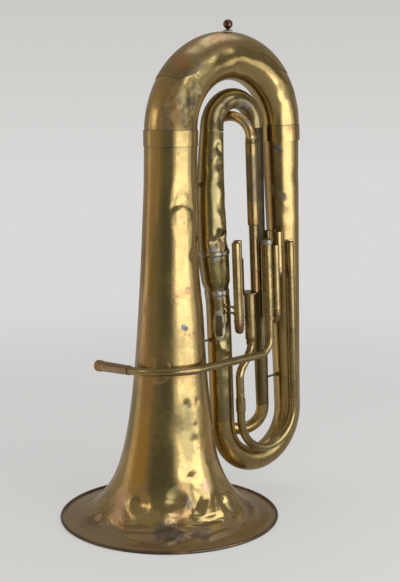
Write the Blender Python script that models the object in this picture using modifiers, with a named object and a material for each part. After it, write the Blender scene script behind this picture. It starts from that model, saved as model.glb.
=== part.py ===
"""Contrabass saxhorn standing on its bell, with its valves missing.

Metres, +Z up. The origin is on the floor under the middle of the whole. The player's side is +Y.
The bell and the top bow stand upright. Every other tube lies in a frame that leans
a few degrees away from the bell, and its places are written there as (across, depth, height).
"""

import math

import bmesh
import bpy
from mathutils import Matrix, Vector

MM = 0.001

# Clearances and walls
GAP = 0.3 * MM                  # between soldered or butted pieces
SLIDE_GAP = 0.35 * MM           # between a slide leg and the tube it runs in
SHEET = 0.9 * MM                # wall of the large tubes
TUBING_WALL = 0.8 * MM          # wall of the valve tubing
FERRULE_WALL = 1.2 * MM

# Facets
TOP_BOW_STEPS = 15
BOTTOM_BOW_STEPS = 6            # on each side of its seam
INNER_BOW_STEPS = 9
SMALL_BOW_STEPS = 7
BELL_STEPS = 11
LEADPIPE_STEPS = 8
BELL_SIDES = 36
LARGE_SIDES = 18
SMALL_SIDES = 10
FITTING_SIDES = 14

# Bell
BELL_RADIUS = 208.5 * MM        # at the sheet's edge, inside the rim wire
BELL_THROAT_RADIUS = 51.2 * MM
BELL_FLARE_HEIGHT = 650.0 * MM
BELL_FLARE_LEAD = 25.0 * MM     # moves the steep part of the flare off the rim
BELL_FLARE_POWER = 0.5
BELL_TOP = 737.0 * MM
BELL_DRIFT = 7.0 * MM           # how far the bell's top has moved toward the bow
RIM_WIRE_RADIUS = 3.0 * MM
RIM_FLAT = 0.6 * MM             # worn flat under the rim wire
BELL_FERRULE_HEIGHT = 29.5 * MM
BELL_FERRULE_RISE = 2.0 * MM    # ferrule's middle above the joint

# Leaning frame of the branches and bows
LEAN = math.radians(3.0)

# Bottom bow, left branch and outer branch
BOTTOM_BOW_ACROSS = 242.2 * MM
BOTTOM_BOW_HEIGHT = 150.5 * MM
BOTTOM_BOW_RADIUS = 92.9 * MM
BOTTOM_BOW_SEAM = math.radians(-97.0)
BOTTOM_BOW_TUBE = 26.6 * MM     # tube radius at the seam
SEAM_STRAIGHT = 4.5 * MM        # straight stretch on each side of the seam
LEFT_JOINT_TUBE = 25.0 * MM
OUTER_JOINT_TUBE = 28.8 * MM
OUTER_JOINT_HEIGHT = 219.0 * MM
OUTER_BRANCH_TOP = 726.0 * MM
OUTER_TOP_TUBE = 38.0 * MM
BRANCH_FERRULE_HEIGHT = 31.0 * MM
BRANCH_FERRULE_RISE = 1.6 * MM

# Top bow
TOP_BOW_SMALL_END = 39.2 * MM
TOP_BOW_TAPER = 1.35            # above 1 the tube narrows late
TOP_BOW_RISE = 0.975            # the crown's rise over half the bow's width
GUARD_WALL = 0.9 * MM
GUARD_CLEARANCE = 0.6 * MM      # over the corners of the bow's facets
GUARD_FIRST_STEP = 3
GUARD_LAST_STEP = 12
GUARD_WRAP = math.radians(68.0)
GUARD_WRAPS = 6
FINIAL_BALL_RADIUS = 9.3 * MM
FINIAL_NECK_RADIUS = 2.6 * MM
FINIAL_FOOT_RADIUS = 10.0 * MM
FINIAL_BASE_HEIGHT = 2.6 * MM
FINIAL_NECK = 0.6 * MM

# Left branch: lower tube, funnel with two grey solder rings, widened upper tube
LEFT_STRAIGHT = 12.0 * MM       # straight end of the bottom bow below the branch
LEFT_LOWER_TOP = 425.0 * MM
LEFT_LOWER_TUBE = 24.3 * MM
FUNNEL_TOP = 506.0 * MM
FUNNEL_TUBE = 31.2 * MM
LEFT_UPPER_TUBE = 23.9 * MM
LOWER_RING_HEIGHT = 13.0 * MM
UPPER_RING_HEIGHT = 13.0 * MM

# Inner top bow, rear tube, rear bow and rear leg
REAR_ACROSS = 262.4 * MM
INNER_BOW_HEIGHT = 746.2 * MM
REAR_TOP_TUBE = 18.0 * MM
REAR_BOTTOM_TUBE = 13.7 * MM
REAR_BOW_HEIGHT = 169.0 * MM
REAR_LEG_ACROSS = 180.0 * MM
REAR_LEG_DEPTH = 40.0 * MM
REAR_LEG_TUBE = 11.5 * MM

# Inner crook and riser
RISER_ACROSS = 217.5 * MM
RISER_DEPTH = -37.0 * MM
CROOK_TUBE = 10.2 * MM
RISER_WIDE_TUBE = 11.8 * MM
RISER_NARROW_TUBE = 9.7 * MM
RISER_STEP = 553.0 * MM

# Joint plate, sleeve, open stub and goose neck
PLATE_TOP = 420.0 * MM
PLATE_THICKNESS = 3.2 * MM
SLEEVE_ACROSS = 201.0 * MM
SLEEVE_TUBE = 11.8 * MM
SLEEVE_LENGTH = 102.0 * MM
STUB_ACROSS = 193.0 * MM
STUB_DEPTH = -19.0 * MM
STUB_TOP = 488.0 * MM

# Valve tubing
TUBING_RADIUS = 8.75 * MM
ENTRY_RADIUS = 9.3 * MM
LEADPIPE_RADIUS = 8.3 * MM

# Main tuning slide, in front of the bottom bow
TUNING_DEPTH = -40.0 * MM
TUNING_LEFT_ACROSS = 164.4 * MM
TUNING_RIGHT_ACROSS = 315.0 * MM
TUNING_BOW_HEIGHT = 164.8 * MM
TUNING_FERRULE_BOTTOM = 181.0 * MM
TUNING_FERRULE_HEIGHT = 27.0 * MM
TUNING_LEG_LENGTH = 58.0 * MM
NECK_BOTTOM = 252.0 * MM
NECK_SEAT = 8.0 * MM           # how far the goose neck enters the sleeve
EXIT_TOP = 508.0 * MM

# Leadpipe
LEADPIPE_HEIGHT = 306.5 * MM
LEADPIPE_STANDOFF = 6.6 * MM    # bell wall to leadpipe wall
LEADPIPE_FALL = math.radians(4.4)       # how steeply it falls to the receiver
LEADPIPE_FALL_START = math.radians(225.0)
ENTRY_ACROSS = 230.0 * MM
ENTRY_DEPTH = -62.0 * MM
ENTRY_BEND_RADIUS = 30.0 * MM
ENTRY_JOINT = 368.0 * MM
ENTRY_TOP = 526.0 * MM
RECEIVER_START = 19.0 * MM
RECEIVER_LENGTH = 102.0 * MM
RECEIVER_BORE = 6.4 * MM
RECEIVER_END_RADIUS = 10.2 * MM
RECEIVER_RING_RADIUS = 11.4 * MM
RECEIVER_RING_WIDTH = 9.0 * MM
FLANGE_ANGLE = math.radians(212.0)
FLANGE_WIDTH = 50.0 * MM
FLANGE_HEIGHT = 56.0 * MM
FLANGE_WALL = 1.2 * MM

# Valve slides: place of the front leg, step to the rear leg, heights
SLIDE_LEG_SPACING = 30.0 * MM
SLIDE_ENGAGED = 62.0 * MM
SLIDE_BEAD = 0.8 * MM
BEAD_HEIGHT = 3.0 * MM
SLIDE_MOUTH = 8.0 * MM          # fixed legs end this far above the bow
VALVE_BOW_STEPS = 6
SLIDES = {
    "first": dict(across=255.0 * MM, depth=-58.0 * MM, turn=90.0, top=511.0 * MM, bow=371.0 * MM),
    "second": dict(across=289.0 * MM, depth=-33.0 * MM, turn=90.0, top=531.5 * MM, bow=450.0 * MM),
    "third": dict(across=147.6 * MM, depth=-60.0 * MM, turn=41.0, top=529.0 * MM, bow=368.0 * MM),
}

# Stays
STAY_RADIUS = 2.2 * MM
STAY_FOOT_RADIUS = 5.0 * MM
STAY_FOOT = 1.2 * MM
THIRD_STAY_HEIGHTS = {"upper": 400.0 * MM, "lower": 388.0 * MM}
BELL_STAY_HEIGHTS = {"upper": 640.0 * MM, "lower": 330.0 * MM}
FIRST_STAY_DROP = 56.0 * MM     # below the top of the leadpipe's riser
SECOND_STAY_HEIGHT = 500.0 * MM
EXIT_STAY_HEIGHT = 340.0 * MM
REAR_STAY_RISE = 4.0 * MM       # above the outer branch's foot
REAR_LEG_STAY_HEIGHT = 600.0 * MM

# Lyre socket on the left branch, facing the front
LYRE_HEIGHT = 362.0 * MM
LYRE_TURN = math.radians(229.0)
LYRE_PLATE_WIDTH = 26.0 * MM
LYRE_PLATE_LENGTH = 62.0 * MM
LYRE_PLATE_WALL = 1.4 * MM
LYRE_BOX_WIDTH = 13.0 * MM
LYRE_BOX_DEPTH = 8.0 * MM
LYRE_BOX_LENGTH = 40.0 * MM
LYRE_SLOT_WIDTH = 8.0 * MM
LYRE_SLOT_DEPTH = 4.0 * MM
LYRE_SCREW_RADIUS = 1.8 * MM
LYRE_HEAD_RADIUS = 4.5 * MM
LYRE_HEAD_LENGTH = 3.0 * MM


# Scene set-up

def clear_scene():
    for old in list(bpy.data.objects):
        bpy.data.objects.remove(old, do_unlink=True)


def new_collection(name):
    made = bpy.data.collections.new(name)
    bpy.context.scene.collection.children.link(made)
    return made


def brass(name, colour, roughness):
    made = bpy.data.materials.new(name)
    made.use_nodes = True
    shader = made.node_tree.nodes["Principled BSDF"]
    shader.inputs["Base Color"].default_value = (*colour, 1.0)
    shader.inputs["Roughness"].default_value = roughness
    shader.inputs["Metallic"].default_value = 1.0
    made.diffuse_color = (*colour, 1.0)
    return made


# Places

RIM_HEIGHT = RIM_WIRE_RADIUS - RIM_FLAT
RIM_OUTER = BELL_RADIUS + GAP + 2.0 * RIM_WIRE_RADIUS
LEFT_ACROSS = BOTTOM_BOW_ACROSS - BOTTOM_BOW_RADIUS
OUTER_ACROSS = BOTTOM_BOW_ACROSS + BOTTOM_BOW_RADIUS
OUTER_BULGE = 0.966 * OUTER_JOINT_TUBE      # the bow has narrowed a little at its widest place
OUTER_REACH = (OUTER_ACROSS + OUTER_BULGE) * math.cos(LEAN) - BOTTOM_BOW_HEIGHT * math.sin(LEAN)
BELL_X = (RIM_OUTER - OUTER_REACH) / 2.0    # puts the origin under the middle of the whole


def lean_vector(across, depth, height):
    """World direction of a step in the leaning frame."""
    x = across * math.cos(LEAN) - height * math.sin(LEAN)
    z = across * math.sin(LEAN) + height * math.cos(LEAN)
    return Vector((x, depth, z))


def leaning(across, depth, height):
    """World point of a place in the leaning frame, measured from the bell's foot."""
    return Vector((BELL_X, 0.0, 0.0)) + lean_vector(across, depth, height)


SLEEVE_TOP = PLATE_TOP - PLATE_THICKNESS - GAP
LEFT_FOOT = BOTTOM_BOW_HEIGHT + LEFT_STRAIGHT
LEAN_UP = lean_vector(0.0, 0.0, 1.0)
LEAN_SIDE = lean_vector(1.0, 0.0, 0.0)
DEPTH = Vector((0.0, 1.0, 0.0))


def bell_radius(z):
    """Outer radius of the bell at a height: a flare that settles into a straight throat."""
    if z >= BELL_FLARE_HEIGHT:
        return BELL_THROAT_RADIUS
    rise = max(z - RIM_HEIGHT, 0.0)
    rest = (BELL_FLARE_LEAD / (BELL_FLARE_HEIGHT - RIM_HEIGHT + BELL_FLARE_LEAD)) ** BELL_FLARE_POWER
    here = (BELL_FLARE_LEAD / (rise + BELL_FLARE_LEAD)) ** BELL_FLARE_POWER
    share = (here - rest) / (1.0 - rest)
    return BELL_THROAT_RADIUS + (BELL_RADIUS - BELL_THROAT_RADIUS) * share


def bell_axis(z):
    return BELL_X + BELL_DRIFT * (z / BELL_TOP) ** 2


def bell_heights():
    """Heights of the bell's rings, top to rim, closer together down the flare."""
    top = BELL_TOP - GAP / 2.0
    return [RIM_HEIGHT + (top - RIM_HEIGHT) * (step / BELL_STEPS) ** 2.3 for step in range(BELL_STEPS, -1, -1)]


def bell_wall(z):
    """Outer radius of the faceted bell, straight between its rings."""
    heights = bell_heights()
    for high, low in zip(heights, heights[1:]):
        if low <= z <= high:
            share = (z - low) / (high - low)
            return bell_radius(low) + (bell_radius(high) - bell_radius(low)) * share
    return BELL_THROAT_RADIUS


def bell_point(z):
    return Vector((bell_axis(z), 0.0, z))


def arc(centre, first, second, start, end, steps):
    """Points on an arc; first and second are the vectors at 0 and 90 degrees."""
    points = []
    for step in range(steps + 1):
        angle = start + (end - start) * step / steps
        points.append(centre + first * math.cos(angle) + second * math.sin(angle))
    return points


def half_turn(left, right, up, steps):
    """Half circle from one leg's end to the other, bulging along up."""
    centre = (left + right) / 2.0
    side = left - centre
    return arc(centre, side, up * side.length, 0.0, math.pi, steps)


def with_ends(points, before, after, length):
    """The points with a short straight stretch at each end, so the end faces are square."""
    return [points[0] - before * length] + points + [points[-1] + after * length]


def spread(start, end, points):
    """A radius for each point, changing evenly along the path."""
    runs = [0.0]
    for one, two in zip(points, points[1:]):
        runs.append(runs[-1] + (two - one).length)
    return [start + (end - start) * run / runs[-1] for run in runs]


def over(radius, sides):
    """Inner radius of a ring whose flats clear the corners of the tube inside it."""
    return (radius + GAP) / math.cos(math.pi / sides)


# Solids

def link(obj, material):
    obj.data.materials.append(material)
    PARTS.objects.link(obj)
    return obj


def tube(name, points, radii, wall, sides, material, origin=Vector((0.0, 0.0, 0.0))):
    """Hollow tube along a path, its radius given at each point and its own origin at origin."""
    curve = bpy.data.curves.new(name, "CURVE")
    curve.dimensions = "3D"
    curve.bevel_depth = 1.0
    curve.bevel_resolution = (sides - 4) // 2
    curve.use_fill_caps = False
    spline = curve.splines.new("POLY")
    spline.points.add(len(points) - 1)
    for place, point, radius in zip(spline.points, points, radii):
        place.co = (*(point - origin), 1.0)
        place.radius = radius
    obj = link(bpy.data.objects.new(name, curve), material)
    obj.location = origin
    shell = obj.modifiers.new("wall", "SOLIDIFY")
    shell.thickness = wall
    shell.offset = -1.0
    shell.use_even_offset = True
    return obj


def ring(name, low, high, inner, wall, sides, material):
    """Short sleeve round a tube, between two points on its axis."""
    return tube(name, [low, high], [inner + wall] * 2, wall, sides, material)


def turned(name, profile, sides, material, matrix):
    """Solid of revolution: the profile runs from the top of the axis to the bottom."""
    mesh = bpy.data.meshes.new(name)
    form = bmesh.new()
    corners = [form.verts.new((radius, 0.0, height)) for radius, height in profile]
    for one, two in zip(corners, corners[1:]):
        form.edges.new((one, two))
    form.to_mesh(mesh)
    form.free()
    obj = link(bpy.data.objects.new(name, mesh), material)
    obj.matrix_world = matrix
    lathe = obj.modifiers.new("turn", "SCREW")
    lathe.steps = sides
    lathe.render_steps = sides
    lathe.use_merge_vertices = True
    lathe.merge_threshold = 0.00001
    return obj


def along(start, end):
    """Matrix that stands a turned solid at start with its axis toward end."""
    axis = (end - start).normalized()
    turn = Vector((0.0, 0.0, 1.0)).rotation_difference(axis)
    return Matrix.Translation(start) @ turn.to_matrix().to_4x4()


def stay(name, start, start_radius, end, end_radius, material):
    """Rod with a foot at each end, between the walls of two tubes given by their axes."""
    axis = (end - start).normalized()
    low = start + axis * (start_radius + GAP)
    length = (end - start).length - start_radius - end_radius - 2.0 * GAP
    foot = min(STAY_FOOT, 0.3 * length)
    profile = [
        (0.0, length), (STAY_FOOT_RADIUS, length), (STAY_FOOT_RADIUS, length - foot),
        (STAY_RADIUS, length - foot), (STAY_RADIUS, foot),
        (STAY_FOOT_RADIUS, foot), (STAY_FOOT_RADIUS, 0.0), (0.0, 0.0),
    ]
    return turned(name, profile, SMALL_SIDES, material, along(low, end))


def as_mesh(obj):
    """The same piece as a mesh, so that it can be cut."""
    evaluated = obj.evaluated_get(bpy.context.evaluated_depsgraph_get())
    mesh = bpy.data.meshes.new_from_object(evaluated)
    made = bpy.data.objects.new(obj.name + "_mesh", mesh)
    made.matrix_world = obj.matrix_world
    name = obj.name
    PARTS.objects.link(made)
    bpy.data.objects.remove(obj, do_unlink=True)
    made.name = name
    return made


def solid_box(name, size):
    mesh = bpy.data.meshes.new(name)
    form = bmesh.new()
    bmesh.ops.create_cube(form, size=1.0)
    bmesh.ops.scale(form, vec=size, verts=form.verts)
    form.to_mesh(mesh)
    form.free()
    return bpy.data.objects.new(name, mesh)


def oval_prism(name, width, height, length, sides):
    """Elliptical bar along its own Z."""
    mesh = bpy.data.meshes.new(name)
    form = bmesh.new()
    bmesh.ops.create_cone(form, cap_ends=True, segments=sides, radius1=0.5, radius2=0.5, depth=length)
    bmesh.ops.scale(form, vec=(width, height, 1.0), verts=form.verts)
    form.to_mesh(mesh)
    form.free()
    return bpy.data.objects.new(name, mesh)


def cutter(obj, matrix):
    CUTTERS.objects.link(obj)
    obj.matrix_world = matrix
    obj.hide_render = True
    obj.display_type = "WIRE"
    return obj


def boolean(obj, other, operation):
    cut = obj.modifiers.new(operation.lower(), "BOOLEAN")
    cut.operation = operation
    cut.object = other


# Bell

def bell_sheet(name, heights, offset, wall):
    """Turned sheet that follows the bell, its outer face moved out by offset."""
    mesh = bpy.data.meshes.new(name)
    form = bmesh.new()
    corners = [form.verts.new((bell_wall(z) + offset, 0.0, z)) for z in heights]
    edges = [form.edges.new(pair) for pair in zip(corners, corners[1:])]
    bmesh.ops.spin(
        form, geom=corners + edges, cent=(0.0, 0.0, 0.0), axis=(0.0, 0.0, 1.0),
        angle=2.0 * math.pi, steps=BELL_SIDES, use_merge=True,
    )
    bmesh.ops.remove_doubles(form, verts=form.verts, dist=0.00001)
    bmesh.ops.recalc_face_normals(form, faces=form.faces)
    outward = sum(face.normal.dot(Vector((face.calc_center_median().x, face.calc_center_median().y, 0.0)))
                  for face in form.faces)
    if outward < 0.0:
        bmesh.ops.reverse_faces(form, faces=form.faces)
    for corner in form.verts:
        corner.co.x += bell_axis(corner.co.z)
    for face in form.faces:
        face.smooth = True
    form.to_mesh(mesh)
    form.free()
    obj = bpy.data.objects.new(name, mesh)
    shell = obj.modifiers.new("wall", "SOLIDIFY")
    shell.thickness = wall
    shell.offset = -1.0
    shell.use_even_offset = True
    return obj


def make_bell():
    link(bell_sheet("bell", bell_heights(), 0.0, SHEET), BRASS)


def make_rim_wire():
    centre = BELL_RADIUS + GAP + RIM_WIRE_RADIUS
    level = RIM_HEIGHT
    profile = []
    flat = math.acos(level / RIM_WIRE_RADIUS)
    sides = 7
    for step in range(sides + 1):
        angle = -math.pi / 2.0 + flat + (2.0 * math.pi - 2.0 * flat) * step / sides
        profile.append((centre + RIM_WIRE_RADIUS * math.cos(angle), level + RIM_WIRE_RADIUS * math.sin(angle)))
    profile.reverse()
    profile.append(profile[0])
    turned("bell_rim_wire", profile, BELL_SIDES, DARK_BRASS, Matrix.Translation(bell_point(0.0)))


def make_bell_ferrule():
    half = Vector((0.0, 0.0, BELL_FERRULE_HEIGHT / 2.0))
    middle = bell_point(BELL_TOP) + Vector((0.0, 0.0, BELL_FERRULE_RISE))
    inner = over(BELL_THROAT_RADIUS + BELL_DRIFT * 0.1, LARGE_SIDES)
    ring("bell_ferrule", middle - half, middle + half, inner, FERRULE_WALL, LARGE_SIDES, BRASS)


# Top bow, guard and finial

def top_bow_arc(steps, start, end):
    left = Vector((bell_axis(BELL_TOP), 0.0, 0.0))
    outer_end = leaning(OUTER_ACROSS, 0.0, OUTER_BRANCH_TOP)
    right = outer_end + LEAN_UP * (BRANCH_FERRULE_HEIGHT / 2.0 + BRANCH_FERRULE_RISE + 0.9 * MM)
    radius = (right.x - left.x) / (1.0 + math.cos(LEAN))
    centre = Vector((left.x + radius, 0.0, right.z - radius * math.sin(LEAN)))
    side = Vector((-radius, 0.0, 0.0))
    up = Vector((0.0, 0.0, radius * TOP_BOW_RISE))
    return arc(centre, side, up, start, end, steps), radius, centre


def top_bow_radius(angle):
    share = (angle / math.pi) ** TOP_BOW_TAPER
    return BELL_THROAT_RADIUS + (TOP_BOW_SMALL_END - BELL_THROAT_RADIUS) * share


def make_top_bow():
    points, radius, centre = top_bow_arc(TOP_BOW_STEPS, 0.0, math.pi - LEAN)
    radii = [top_bow_radius((math.pi - LEAN) * step / TOP_BOW_STEPS) for step in range(TOP_BOW_STEPS + 1)]
    start = Vector((points[0].x, 0.0, BELL_TOP + GAP / 2.0))
    end = leaning(OUTER_ACROSS, 0.0, OUTER_BRANCH_TOP) + LEAN_UP * GAP
    tube("top_bow", [start] + points + [end], [radii[0]] + radii + [radii[-1]], SHEET, LARGE_SIDES, BRASS)


def guard_rows():
    """For each bend of the guard: a point of the bow's middle line, the way outward, the inner radius."""
    points, radius, centre = top_bow_arc(TOP_BOW_STEPS, 0.0, math.pi - LEAN)
    rows = []
    for step in range(GUARD_FIRST_STEP, GUARD_LAST_STEP + 1):
        turn = (math.pi - LEAN) * step / TOP_BOW_STEPS
        outward = Vector((-TOP_BOW_RISE * math.cos(turn), 0.0, math.sin(turn))).normalized()
        inner = (top_bow_radius(turn) + GUARD_CLEARANCE) / math.cos(GUARD_WRAP / GUARD_WRAPS)
        rows.append((points[step], outward, inner))
    return rows, centre


def make_guard():
    """Sheet bent round the outer side of the top bow, on the bow's own facets."""
    bends, centre = guard_rows()
    wrap_step = GUARD_WRAP / (GUARD_WRAPS // 2)
    form = bmesh.new()
    rows = []
    for spine, outward, inner in bends:
        row = []
        for step in range(GUARD_WRAPS + 1):
            wrap = -GUARD_WRAP + wrap_step * step
            row.append(form.verts.new(spine + (outward * math.cos(wrap) + DEPTH * math.sin(wrap)) * inner))
        rows.append(row)
    for one, two in zip(rows, rows[1:]):
        for step in range(GUARD_WRAPS):
            form.faces.new((one[step], one[step + 1], two[step + 1], two[step]))
    mesh = bpy.data.meshes.new("top_bow_guard")
    for face in form.faces:
        face.smooth = True
    form.normal_update()
    outside = rows[0][GUARD_WRAPS // 2].link_faces[0]
    if outside.normal.dot(outside.calc_center_median() - centre) < 0.0:
        bmesh.ops.reverse_faces(form, faces=form.faces)
    form.to_mesh(mesh)
    form.free()
    obj = link(bpy.data.objects.new("top_bow_guard", mesh), BRASS)
    shell = obj.modifiers.new("wall", "SOLIDIFY")
    shell.thickness = GUARD_WALL
    shell.offset = 1.0
    shell.use_even_offset = True


def make_finial():
    bends, centre = guard_rows()
    crown = max(spine.z + outward.z * inner for spine, outward, inner in bends) + GUARD_WALL
    seat = Vector((centre.x, 0.0, crown + GAP))
    base = [
        (0.0, FINIAL_BASE_HEIGHT), (FINIAL_NECK_RADIUS * 1.6, FINIAL_BASE_HEIGHT),
        (FINIAL_FOOT_RADIUS, 0.55 * FINIAL_BASE_HEIGHT), (FINIAL_FOOT_RADIUS, 0.0), (0.0, 0.0),
    ]
    turned("finial_base", base, FITTING_SIDES, BRASS, Matrix.Translation(seat))
    low = FINIAL_BASE_HEIGHT + GAP
    tip = math.asin(FINIAL_NECK_RADIUS / FINIAL_BALL_RADIUS)
    middle = low + FINIAL_NECK + FINIAL_BALL_RADIUS * math.cos(tip)
    ball = []
    rings = 7
    for step in range(rings + 1):
        angle = (math.pi - tip) * step / rings
        ball.append((FINIAL_BALL_RADIUS * math.sin(angle), middle + FINIAL_BALL_RADIUS * math.cos(angle)))
    ball += [(FINIAL_NECK_RADIUS, low), (0.0, low)]
    turned("finial_ball", ball, FITTING_SIDES, COPPER, Matrix.Translation(seat))


# Outer branch and bottom bow

def make_outer_branch():
    low = leaning(OUTER_ACROSS, 0.0, OUTER_JOINT_HEIGHT + GAP)
    high = leaning(OUTER_ACROSS, 0.0, OUTER_BRANCH_TOP)
    tube("outer_branch", [low, high], [OUTER_JOINT_TUBE, OUTER_TOP_TUBE], SHEET, LARGE_SIDES, BRASS)
    inner = over(max(OUTER_TOP_TUBE, TOP_BOW_SMALL_END), LARGE_SIDES) + 0.4 * MM
    half = LEAN_UP * (BRANCH_FERRULE_HEIGHT / 2.0)
    middle = high + LEAN_UP * BRANCH_FERRULE_RISE
    ring("branch_ferrule", middle - half, middle + half, inner, FERRULE_WALL, LARGE_SIDES, BRASS)


def bottom_point(angle):
    return leaning(
        BOTTOM_BOW_ACROSS + BOTTOM_BOW_RADIUS * math.cos(angle),
        0.0,
        BOTTOM_BOW_HEIGHT + BOTTOM_BOW_RADIUS * math.sin(angle),
    )


def make_bottom_bow():
    steps = BOTTOM_BOW_STEPS
    seam = bottom_point(BOTTOM_BOW_SEAM)
    tangent = lean_vector(math.sin(BOTTOM_BOW_SEAM), 0.0, -math.cos(BOTTOM_BOW_SEAM))
    right = [bottom_point(BOTTOM_BOW_SEAM * step / steps) for step in range(steps)]
    right = [leaning(OUTER_ACROSS, 0.0, OUTER_JOINT_HEIGHT)] + right
    right += [seam - tangent * SEAM_STRAIGHT, seam - tangent * GAP / 2.0]
    tube("bottom_bow_outer", right, spread(OUTER_JOINT_TUBE, BOTTOM_BOW_TUBE, right), SHEET, LARGE_SIDES, BRASS)
    left = [
        bottom_point(-math.pi + (BOTTOM_BOW_SEAM + math.pi) * step / steps) for step in range(steps - 1, -1, -1)
    ]
    left = [seam + tangent * GAP / 2.0, seam + tangent * SEAM_STRAIGHT] + left
    left.append(leaning(LEFT_ACROSS, 0.0, LEFT_FOOT - GAP))
    tube("bottom_bow_inner", left, spread(BOTTOM_BOW_TUBE, LEFT_JOINT_TUBE, left), SHEET, LARGE_SIDES, BRASS)


# Left branch

def make_left_branch():
    foot = leaning(LEFT_ACROSS, 0.0, LEFT_FOOT)
    neck = leaning(LEFT_ACROSS, 0.0, LEFT_LOWER_TOP)
    tube("left_branch_lower", [foot, neck], [LEFT_JOINT_TUBE, LEFT_LOWER_TUBE], SHEET, LARGE_SIDES, BRASS)
    funnel_foot = neck + LEAN_UP * GAP
    mouth = leaning(LEFT_ACROSS, 0.0, FUNNEL_TOP)
    straight = LEAN_UP * (LOWER_RING_HEIGHT * 0.6)
    tube(
        "left_branch_funnel",
        [funnel_foot, funnel_foot + straight, mouth - LEAN_UP * (UPPER_RING_HEIGHT * 0.6), mouth],
        [LEFT_LOWER_TUBE, LEFT_LOWER_TUBE, FUNNEL_TUBE, FUNNEL_TUBE],
        SHEET, LARGE_SIDES, BRASS,
    )
    crown = leaning(LEFT_ACROSS, 0.0, INNER_BOW_HEIGHT - 4.0 * MM)
    upper_foot = mouth + LEAN_UP * GAP
    belly = leaning(LEFT_ACROSS, 0.0, FUNNEL_TOP + 0.45 * (INNER_BOW_HEIGHT - FUNNEL_TOP))
    tube(
        "left_branch_upper",
        [upper_foot, upper_foot + LEAN_UP * (UPPER_RING_HEIGHT * 0.8), belly, crown],
        [FUNNEL_TUBE, FUNNEL_TUBE, 0.45 * FUNNEL_TUBE + 0.55 * LEFT_UPPER_TUBE, LEFT_UPPER_TUBE],
        SHEET, LARGE_SIDES, BRASS,
    )
    half = LEAN_UP * (LOWER_RING_HEIGHT / 2.0)
    ring("lower_solder_ring", neck - half, neck + half, over(LEFT_LOWER_TUBE + 0.2 * MM, LARGE_SIDES),
         FERRULE_WALL, LARGE_SIDES, SOLDER)
    half = LEAN_UP * (UPPER_RING_HEIGHT / 2.0)
    ring("upper_solder_ring", mouth - half, mouth + half, over(FUNNEL_TUBE, LARGE_SIDES),
         FERRULE_WALL, LARGE_SIDES, SOLDER)


# Inner top bow, rear tube, rear bow, rear leg and inner crook

def make_inner_bow():
    left = leaning(LEFT_ACROSS, 0.0, INNER_BOW_HEIGHT)
    right = leaning(REAR_ACROSS, 0.0, INNER_BOW_HEIGHT)
    points = half_turn(left, right, LEAN_UP, INNER_BOW_STEPS)
    points = with_ends(points, LEAN_UP, -LEAN_UP, 4.0 * MM - GAP)
    tube("inner_top_bow", points, spread(LEFT_UPPER_TUBE, REAR_TOP_TUBE, points), SHEET, LARGE_SIDES, BRASS)


def make_rear_tubes():
    top = leaning(REAR_ACROSS, 0.0, INNER_BOW_HEIGHT - 4.0 * MM)
    foot = leaning(REAR_ACROSS, 0.0, REAR_BOW_HEIGHT)
    tube("rear_tube", [foot, top], [REAR_BOTTOM_TUBE, REAR_TOP_TUBE], TUBING_WALL, LARGE_SIDES, DARK_BRASS)
    leg_foot = leaning(REAR_LEG_ACROSS, REAR_LEG_DEPTH, REAR_BOW_HEIGHT)
    start = foot - LEAN_UP * (4.0 * MM + GAP)
    end = leg_foot - LEAN_UP * (4.0 * MM + GAP)
    points = half_turn(start, end, -LEAN_UP, SMALL_BOW_STEPS)
    points = with_ends(points, -LEAN_UP, LEAN_UP, 4.0 * MM)
    tube("rear_bottom_bow", points, spread(REAR_BOTTOM_TUBE, REAR_LEG_TUBE, points), TUBING_WALL, SMALL_SIDES, BRASS)
    leg_top = leaning(REAR_LEG_ACROSS, REAR_LEG_DEPTH, crook_height() - 4.0 * MM)
    tube("rear_leg", [leg_foot, leg_top], [REAR_LEG_TUBE, CROOK_TUBE], TUBING_WALL, SMALL_SIDES, BRASS)


def crook_height():
    """Height of the inner crook's legs, so that its crown is soldered under the inner top bow."""
    bow_radius = (REAR_ACROSS - LEFT_ACROSS) / 2.0
    hole = bow_radius - (LEFT_UPPER_TUBE + REAR_TOP_TUBE) / 2.0
    off_crown = abs((LEFT_ACROSS + REAR_ACROSS) / 2.0 - (RISER_ACROSS + REAR_LEG_ACROSS) / 2.0)
    under = math.sqrt(hole ** 2 - (off_crown + 0.45 * CROOK_TUBE) ** 2)
    crook_radius = math.hypot(RISER_ACROSS - REAR_LEG_ACROSS, RISER_DEPTH - REAR_LEG_DEPTH) / 2.0
    return INNER_BOW_HEIGHT + under - GAP - CROOK_TUBE - crook_radius


def make_crook_and_riser():
    right = leaning(RISER_ACROSS, RISER_DEPTH, crook_height())
    left = leaning(REAR_LEG_ACROSS, REAR_LEG_DEPTH, crook_height())
    points = half_turn(right, left, LEAN_UP, SMALL_BOW_STEPS)
    points = with_ends(points, LEAN_UP, -LEAN_UP, 4.0 * MM - GAP)
    tube("inner_crook", points, [CROOK_TUBE] * len(points), TUBING_WALL, SMALL_SIDES, BRASS)
    seam = right - LEAN_UP * 4.0 * MM
    step = leaning(RISER_ACROSS, RISER_DEPTH, RISER_STEP)
    foot = leaning(RISER_ACROSS, RISER_DEPTH, PLATE_TOP + GAP)
    narrow = RISER_NARROW_TUBE
    wide = RISER_WIDE_TUBE
    slope = 1.6 * MM
    tube(
        "riser_tube",
        [foot, step, step + LEAN_UP * slope, seam - LEAN_UP * 2.0 * slope, seam],
        [narrow, narrow, wide, wide, CROOK_TUBE], TUBING_WALL, SMALL_SIDES, BRASS,
    )
    ring("inner_crook_ring", seam + LEAN_UP * 0.4 * MM, right, over(CROOK_TUBE, SMALL_SIDES),
         FERRULE_WALL, SMALL_SIDES, SOLDER)


# Joint plate, sleeve, stub, goose neck

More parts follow.
